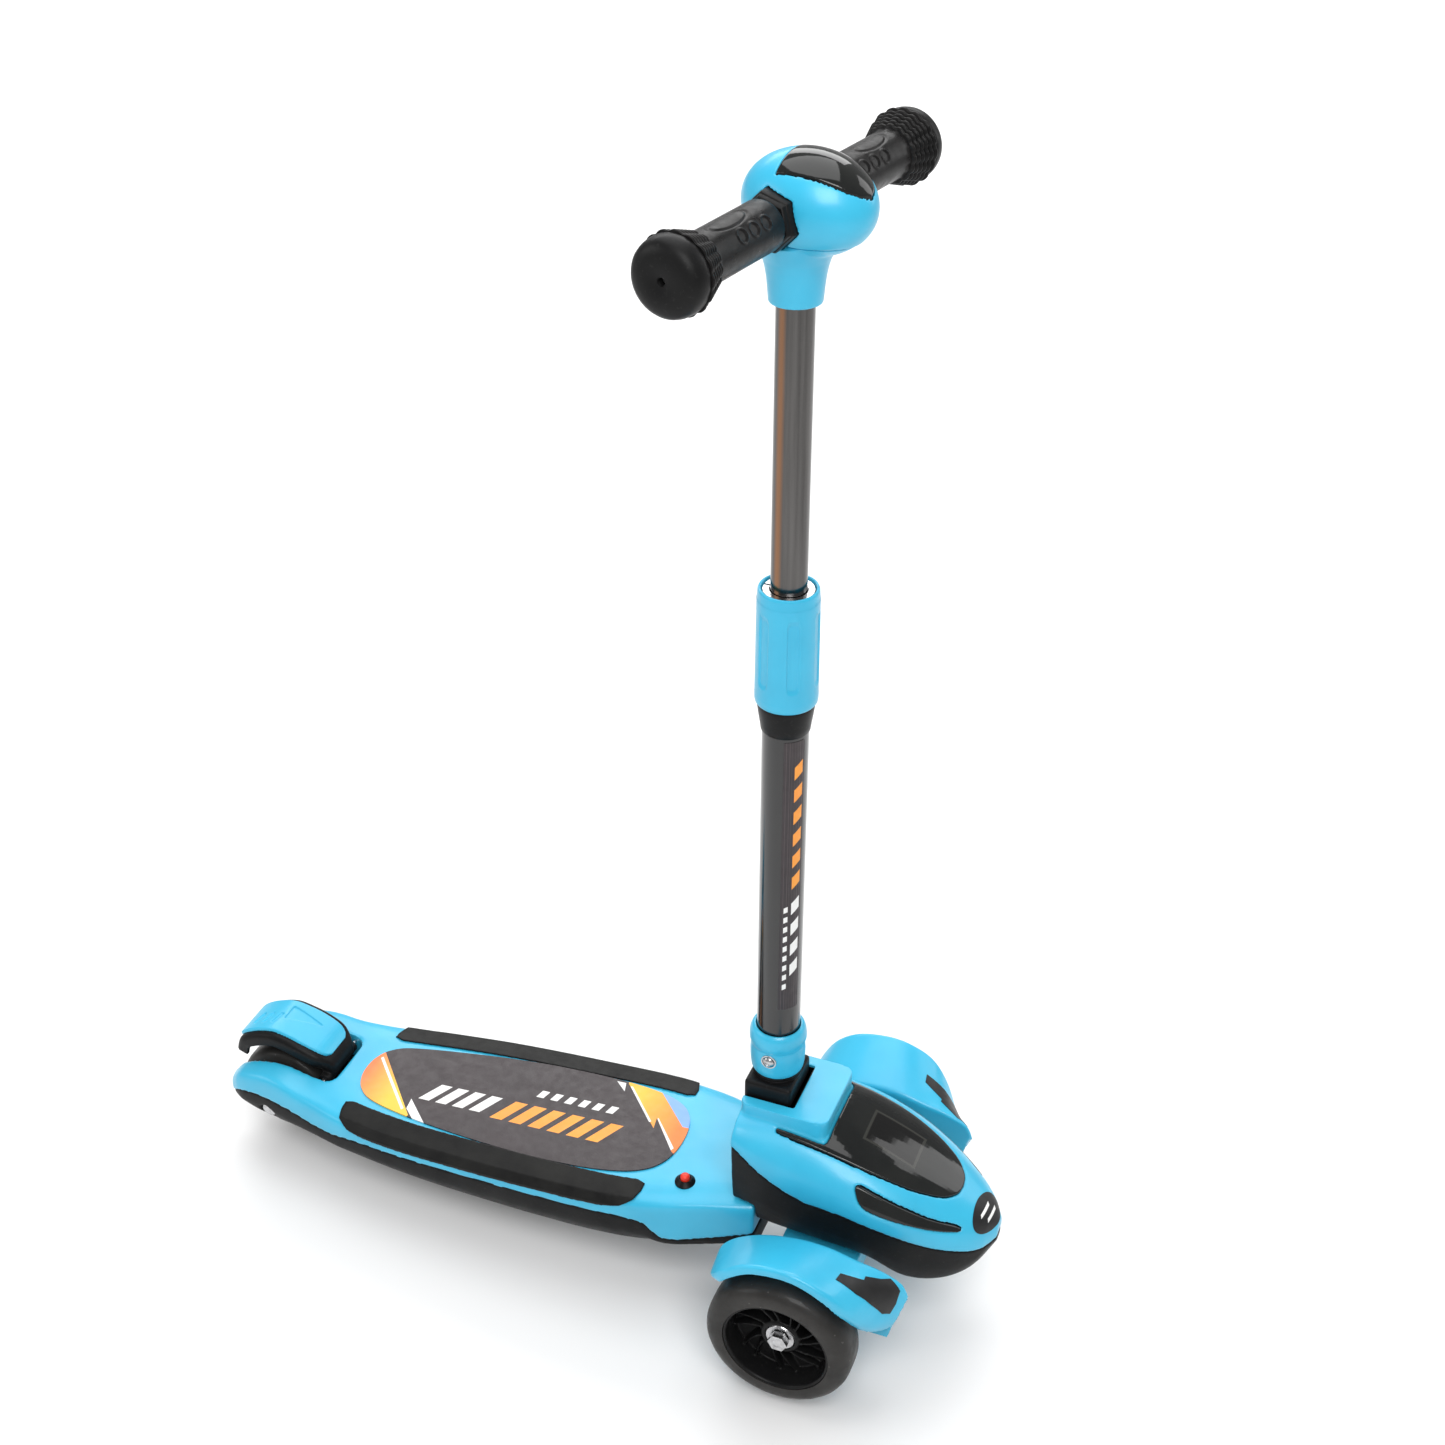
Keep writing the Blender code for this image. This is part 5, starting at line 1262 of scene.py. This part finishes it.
def make_bolt():
    """A pan-head cross screw through the collar, and its nut behind."""
    y = -0.0190
    head = [
        (0.0, -0.0034), (0.0018, -0.0033), (0.0033, -0.0028), (0.0042, -0.0018), (0.0044, -0.0008),
        (0.0044, 0.0000), (0.0, 0.0000),
    ]
    screw_at = (STEM_X, y, COLLAR_BOLT_Z)
    screw = turned("ring_screw", head, "Y", screw_at, 40)
    for turn in (0.3, 0.3 + math.pi / 2):
        slot_block = block("slot", (-0.0024, -0.0060, -0.0004), (0.0024, -0.0022, 0.0004))
        moved(slot_block, Matrix.Translation(screw_at) @ Matrix.Rotation(turn, 4, "Y"))
        cut(screw, slot_block)
    washer = [(0.0048, -0.0009), (0.0056, -0.0009), (0.0058, -0.0004), (0.0058, 0.0020), (0.0048, 0.0020)]
    fused(screw, turned("cup", washer, "Y", (STEM_X, y - 0.0002, COLLAR_BOLT_Z), 40))
    piece(screw, "stem", steel, sharp=30.0)
    nut = rod("ring_nut", (STEM_X, 0.0190, COLLAR_BOLT_Z), (STEM_X, 0.0232, COLLAR_BOLT_Z), 0.0046, 6)
    fused(nut, rod("end", (STEM_X, 0.0190, COLLAR_BOLT_Z), (STEM_X, 0.0240, COLLAR_BOLT_Z), 0.0022))
    bevelled(nut, 0.0004)
    piece(nut, "stem", steel, ["collar_bolt"], sharp=30.0)


def make_sleeve(at):
    flute_half, flute_tall, middle = 0.0043, 0.0262, 0.5560

    def fluted(radius, turn, height):
        """Six long shallow flutes with round ends."""
        if radius < 0.0192:
            return radius
        nearest = (turn + math.pi / 6) % (math.pi / 3) - math.pi / 6
        across = abs(nearest) * radius
        beyond = max(abs(height - middle) - (flute_tall - flute_half), 0.0)
        reach = math.hypot(across, beyond)
        return radius - 0.0011 * (1 - eased(flute_half - 0.0009, flute_half + 0.0002, reach))

    outer = flowing(
        [(0.0197, 0.5958), (0.0202, 0.5880), (0.0203, 0.5850), (0.0207, 0.5300), (0.0209, 0.5200)], 24
    )
    profile = [
        (0.0200, 0.5142), (0.0184, 0.5142), (0.0184, 0.5865), (0.0173, 0.5872), (0.0173, 0.5962),
        (0.0177, 0.5970), (0.0184, 0.5973), (0.0191, 0.5970), *(tuple(point) for point in outer),
        (0.0208, 0.5165), (0.0205, 0.5150),
    ]
    sleeve = turned("grip_sleeve", profile, at=at, sides=360, shape=fluted)
    piece(sleeve, "clamp_sleeve", blue, ["clamp_sleeve"])


def make_post_print():
    """A narrow printed strip up the lower tube: carbon weave with leaning bars."""
    facing = math.radians(-46.0)

    def place(u, v):
        turn = facing + u / LOWER_TUBE_R
        normal = Vector((math.cos(turn), math.sin(turn), 0.0))
        return Vector((STEM_X, 0.0, v)) + normal * LOWER_TUBE_R, normal

    outline = rounded([(-0.0076, 0.2640), (0.0076, 0.2640), (0.0076, 0.4900), (-0.0076, 0.4900)], 0.0015)
    regions = []
    for top, count, ink in ((0.4600, 6, 1), (0.3480, 4, 2)):
        for i in range(count):
            z = top - 0.0180 * i
            bar = [(0.0000, z), (0.0062, z + 0.0050), (0.0062, z + 0.0150), (0.0000, z + 0.0100)]
            regions.append((bar, ink))
    for i in range(9):
        z = 0.3500 - 0.0085 * i
        tick = [(-0.0052, z), (-0.0024, z + 0.0012), (-0.0024, z + 0.0058), (-0.0052, z + 0.0046)]
        regions.append((tick, 2))
    inks = [ink_dark, ink_orange, ink_white]
    sheet = print_sheet("post_print", outline, regions, inks, place, 0.0001, 0.0002, 0.0018)
    piece(sheet, "stem", None)


# Handlebar ------------------------------------------------------------------------------------
BAR_PLACE = Matrix.Translation((STEM_X, 0.0, 0.0)) @ Matrix.Rotation(BAR_YAW, 4, "Z")


def egg(name, inset=0.0):
    bm = bmesh.new()
    size = HEAD_HALVES - Vector((inset, inset, inset))
    bmesh.ops.create_uvsphere(
        bm, u_segments=96, v_segments=64, radius=1.0,
        matrix=Matrix.Translation(HEAD_MIDDLE) @ Matrix.Diagonal((*size, 1.0)),
    )
    return mesh_object(name, bm)


def hexagon(name, sign, stops):
    """A six-sided boss round the bar through (radius, distance from the middle) stops."""
    profile = [(0.0, sign * stops[0][1]), *((r, sign * y) for r, y in stops), (0.0, sign * stops[-1][1])]
    made = turned(name, profile, "Y", sides=6)
    return moved(made, Matrix.Translation((0.0, 0.0, BAR_Z)) @ Matrix.Rotation(HEX_TURN, 4, "Y"))


def hex_rooms():
    """The head's two sockets for the bosses."""
    return [hexagon("hex_room", sign, [(0.0182, 0.0230), (0.0182, 0.0500)]) for _, sign in SIDES]


def head_window_outline():
    half = [(0.0462, 0.0), (0.0430, 0.0085), (0.0340, 0.0158), (0.0180, 0.0205), (-0.0020, 0.0218)]
    return mirrored([tuple(point) for point in flowing(half, 6)])


def make_head():
    upper = egg("helmet")
    window_room = prism("window_room", grown(head_window_outline(), 0.0004), 0.8440, 0.90)
    cut(window_room, egg("window_floor", LENS_DEPTH + 0.0006))
    cut(upper, block("below", (-0.1, -0.1, 0.70), (0.1, 0.1, HEAD_SEAM_Z)), window_room)
    cut(upper, *hex_rooms())
    moulded(upper, SMALL_VOXEL * 1.2, 3)
    piece(moved(upper, BAR_PLACE), "handlebar", blue, ["head_upper"])

    window = prism("head_lens", head_window_outline(), 0.8452, 0.90)
    common(window, egg("window_outer", -0.0003))
    cut(window, egg("window_inner", LENS_DEPTH))
    moulded(window, SMALL_VOXEL, 2)
    piece(moved(window, BAR_PLACE), "handlebar", lens, ["head_window"])

    lower = egg("helmet_neck", 0.0006)
    cut(lower, block("above", (-0.1, -0.1, HEAD_SEAM_Z - GAP), (0.1, 0.1, 0.95)))
    neck = [
        (0.0, 0.8240), (0.0262, 0.8240), (0.0240, 0.8195), (0.0218, 0.8155), (0.0200, 0.8115),
        (0.0186, 0.8065), (0.0176, 0.8010), (0.0169, 0.7950), (0.0164, 0.7890), (0.0161, 0.7854),
        (0.0, 0.7854),
    ]
    fused(lower, turned("neck", neck))
    moulded(lower, SMALL_VOXEL * 1.2, 4)
    cut(lower, *hex_rooms())
    piece(moved(lower, BAR_PLACE), "handlebar", blue, ["head_lower"])


def make_bar():
    tube = [(0.0103, 0.8290), (UPPER_TUBE_R, 0.8290), (UPPER_TUBE_R, 0.4300), (0.0103, 0.4300)]
    post = turned("upper_post", tube, at=(STEM_X, 0.0, 0.0))
    piece(post, "handlebar", chrome, ["upper_tube"])
    stops = [
        (0.0176, 0.0216), (0.0178, 0.0222), (0.0178, 0.0322), (0.0172, 0.0334), (0.0164, 0.0338),
        (0.0164, 0.0346), (0.0158, 0.0362), (0.0150, 0.0370),
    ]
    for side, sign in SIDES:
        boss = bevelled(hexagon("hex_boss_" + side, sign, stops), 0.0005, 2, 50.0)
        piece(moved(boss, BAR_PLACE), "handlebar", black, ["hex_collar_" + side], sharp=25.0)
        make_grip(side, sign)


def make_grip(side, sign):
    """A rubber grip: three round dimples in front, an oval pad on top and a ribbed bell."""
    radius, bell_y = 0.0152, 0.1045
    profile = [(0.0114, 0.0385), (0.0138, 0.0385), (0.0147, 0.0389), (0.0151, 0.0400)]
    profile += [(radius, y) for y in spaced(0.0410, bell_y - 0.0010, 90)]
    for i in range(6):
        y = bell_y + 0.0012 + 0.0033 * i
        low, high = 0.0160 + 0.0010 * i, 0.0182 + 0.0011 * i
        profile += [
            (low, y), (low, y + 0.0006), (high - 0.0004, y + 0.0011), (high, y + 0.0016),
            (high, y + 0.0024), (high - 0.0004, y + 0.0029),
        ]
    profile += [(0.0230, 0.1248), (0.0225, 0.1250), (0.0114, 0.1250)]
    dimples = [(0.0550, 0.0042), (0.0670, 0.0042), (0.0790, 0.0042)]
    dimple_turn, pad_turn = math.radians(36.0), math.radians(84.0)

    def shaped(r, turn, height):
        y = abs(height)
        if y > bell_y:
            lobes = 0.5 + 0.5 * math.cos(16 * turn)
            return r - 0.0010 * (1 - lobes) ** 2 * eased(bell_y, bell_y + 0.0030, y) if r > 0.0150 else r
        if r < 0.0150:
            return r
        change = 0.0
        for at, size in dimples:
            off = (turn - dimple_turn + math.pi) % (2 * math.pi) - math.pi
            reach = math.hypot(off * radius, y - at)
            rim = max(1 - abs(reach - size) / 0.0009, 0.0)
            change += 0.00045 * eased(0.0, 1.0, rim) - 0.0005 * (1 - eased(size - 0.0012, size, reach))
        off = (turn - pad_turn + math.pi) % (2 * math.pi) - math.pi
        reach = math.hypot(off * radius / 0.0066, (y - 0.0780) / 0.0190) * 0.0066
        change -= 0.0006 * eased(0.0, 1.0, max(1 - abs(reach - 0.0060) / 0.0009, 0.0))
        return r + change

    at = (0.0, 0.0, BAR_Z)
    grip = turned("bar_grip_" + side, [(r, sign * y) for r, y in profile], "Y", at, 192, shaped)
    piece(moved(grip, BAR_PLACE), "handlebar", grip_rubber, ["grip_" + side], sharp=55.0)
    end = [
        (0.0022, 0.1253), (0.0022, 0.1382), (0.0026, 0.1388), (0.0060, 0.1394), (0.0100, 0.1397),
        (0.0140, 0.1394), (0.0175, 0.1385), (0.0200, 0.1368), (0.0215, 0.1345), (0.0223, 0.1316),
        (0.0226, 0.1285), (0.0224, 0.1262), (0.0218, 0.1253),
    ]
    cap = turned("bar_cap_" + side, [(r, sign * y) for r, y in end], "Y", at)
    piece(moved(cap, BAR_PLACE), "handlebar", black, ["grip_end_" + side])
    plug = [(0.0, 0.1340), (0.0021, 0.1340), (0.0021, 0.1260), (0.0, 0.1260)]
    screw = turned("cap_screw_" + side, [(r, sign * y) for r, y in plug], "Y", at, 24)
    piece(moved(screw, BAR_PLACE), "handlebar", steel)


# CAD nodes that stay --------------------------------------------------------------------------
def dress_nodes():
    """All the CAD nodes that nothing here replaces get the steel and slightly rounded edges."""
    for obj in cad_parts.values():
        if obj.hide_render:
            continue
        obj.data.materials.clear()
        obj.data.materials.append(steel)
        weld = obj.modifiers.new("weld", "WELD")
        weld.merge_threshold = 0.00001
        rounding = obj.modifiers.new("edges", "BEVEL")
        rounding.width = 0.0003
        rounding.segments = 2
        rounding.limit_method = "ANGLE"
        rounding.angle_limit = math.radians(40.0)


# Stage ----------------------------------------------------------------------------------------
def make_floor():
    """A pale floor that sweeps up into the backdrop far behind."""
    rings = []
    half = 12.0
    sweep = [(-6.0, 0.0), (9.0, 0.0), (10.5, 0.2), (11.5, 1.0), (12.0, 2.4), (12.0, 6.0)]
    bm = bmesh.new()
    for u, z in flowing(sweep, 6):
        rings.append([bm.verts.new((side, u, z)) for side in (-half, half)])
    for before, after in zip(rings, rings[1:]):
        bm.faces.new((before[0], before[1], after[1], after[0]))
    floor = mesh_object("studio_floor", bm)
    floor.rotation_euler = (0.0, 0.0, math.radians(21.0))
    look = Shading("pale_floor", (0.93, 0.93, 0.93), 0.7)
    look.colour(look.mix(look.spread(look.noise(1.5, 2.0), 0.3, 0.7), (0.93, 0.93, 0.93), (0.90, 0.90, 0.90)))
    floor.data.materials.append(look.material)
    floor.data.shade_smooth()


def area_light(name, at, target, size, power):
    light = bpy.data.lights.new(name, "AREA")
    light.shape = "RECTANGLE"
    light.size, light.size_y = size
    light.energy = power
    obj = bpy.data.objects.new(name, light)
    obj.location = at
    obj.rotation_euler = (Vector(target) - Vector(at)).to_track_quat("-Z", "Y").to_euler()
    bpy.context.scene.collection.objects.link(obj)


def make_lights():
    world = bpy.data.worlds.new("studio")
    world.use_nodes = True
    world.node_tree.nodes["Background"].inputs["Color"].default_value = (1.0, 1.0, 1.0, 1.0)
    world.node_tree.nodes["Background"].inputs["Strength"].default_value = 0.36
    bpy.context.scene.world = world
    bpy.context.scene.view_settings.view_transform = "Standard"
    middle = (0.0, 0.0, 0.35)
    area_light("key", (0.9, -1.6, 2.4), middle, (1.4, 1.4), 46.0)
    area_light("fill", (-2.2, -1.2, 1.6), middle, (1.6, 1.2), 14.0)
    area_light("top", (-0.2, 0.4, 2.8), middle, (2.0, 2.0), 30.0)
    area_light("rim", (1.6, 1.6, 1.5), middle, (0.8, 1.6), 9.0)
    area_light("backdrop", (-1.8, 4.2, 3.2), (-1.8, 4.4, 0.0), (5.0, 3.6), 210.0)


def make_camera():
    """The photograph's view, found from the scooter's own proportions."""
    yaw, pitch, roll = 0.3696, 0.5785, 0.0039
    camera = bpy.data.cameras.new("photo_view")
    camera.sensor_width = 36.0
    camera.lens = 51.42
    camera.clip_start = 0.05
    obj = bpy.data.objects.new("photo_view", camera)
    forward = Vector((-math.sin(yaw) * math.cos(pitch), math.cos(yaw) * math.cos(pitch), -math.sin(pitch)))
    right = Vector((math.cos(yaw), math.sin(yaw), 0.0))
    up = right.cross(forward)
    right, up = right * math.cos(roll) + up * math.sin(roll), up * math.cos(roll) - right * math.sin(roll)
    turn = Matrix((right, up, -forward)).transposed().to_4x4()
    obj.matrix_world = Matrix.Translation((0.5130, -1.0632, 1.2298)) @ turn
    bpy.context.scene.collection.objects.link(obj)
    bpy.context.scene.camera = obj


make_camera()
make_lights()
make_floor()
make_deck()
make_brake()
make_rear_wheel()
make_nose()
make_truck()
for side, sign in SIDES:
    make_front_wheel(side, sign)
make_stem()
make_head()
make_bar()
dress_nodes()
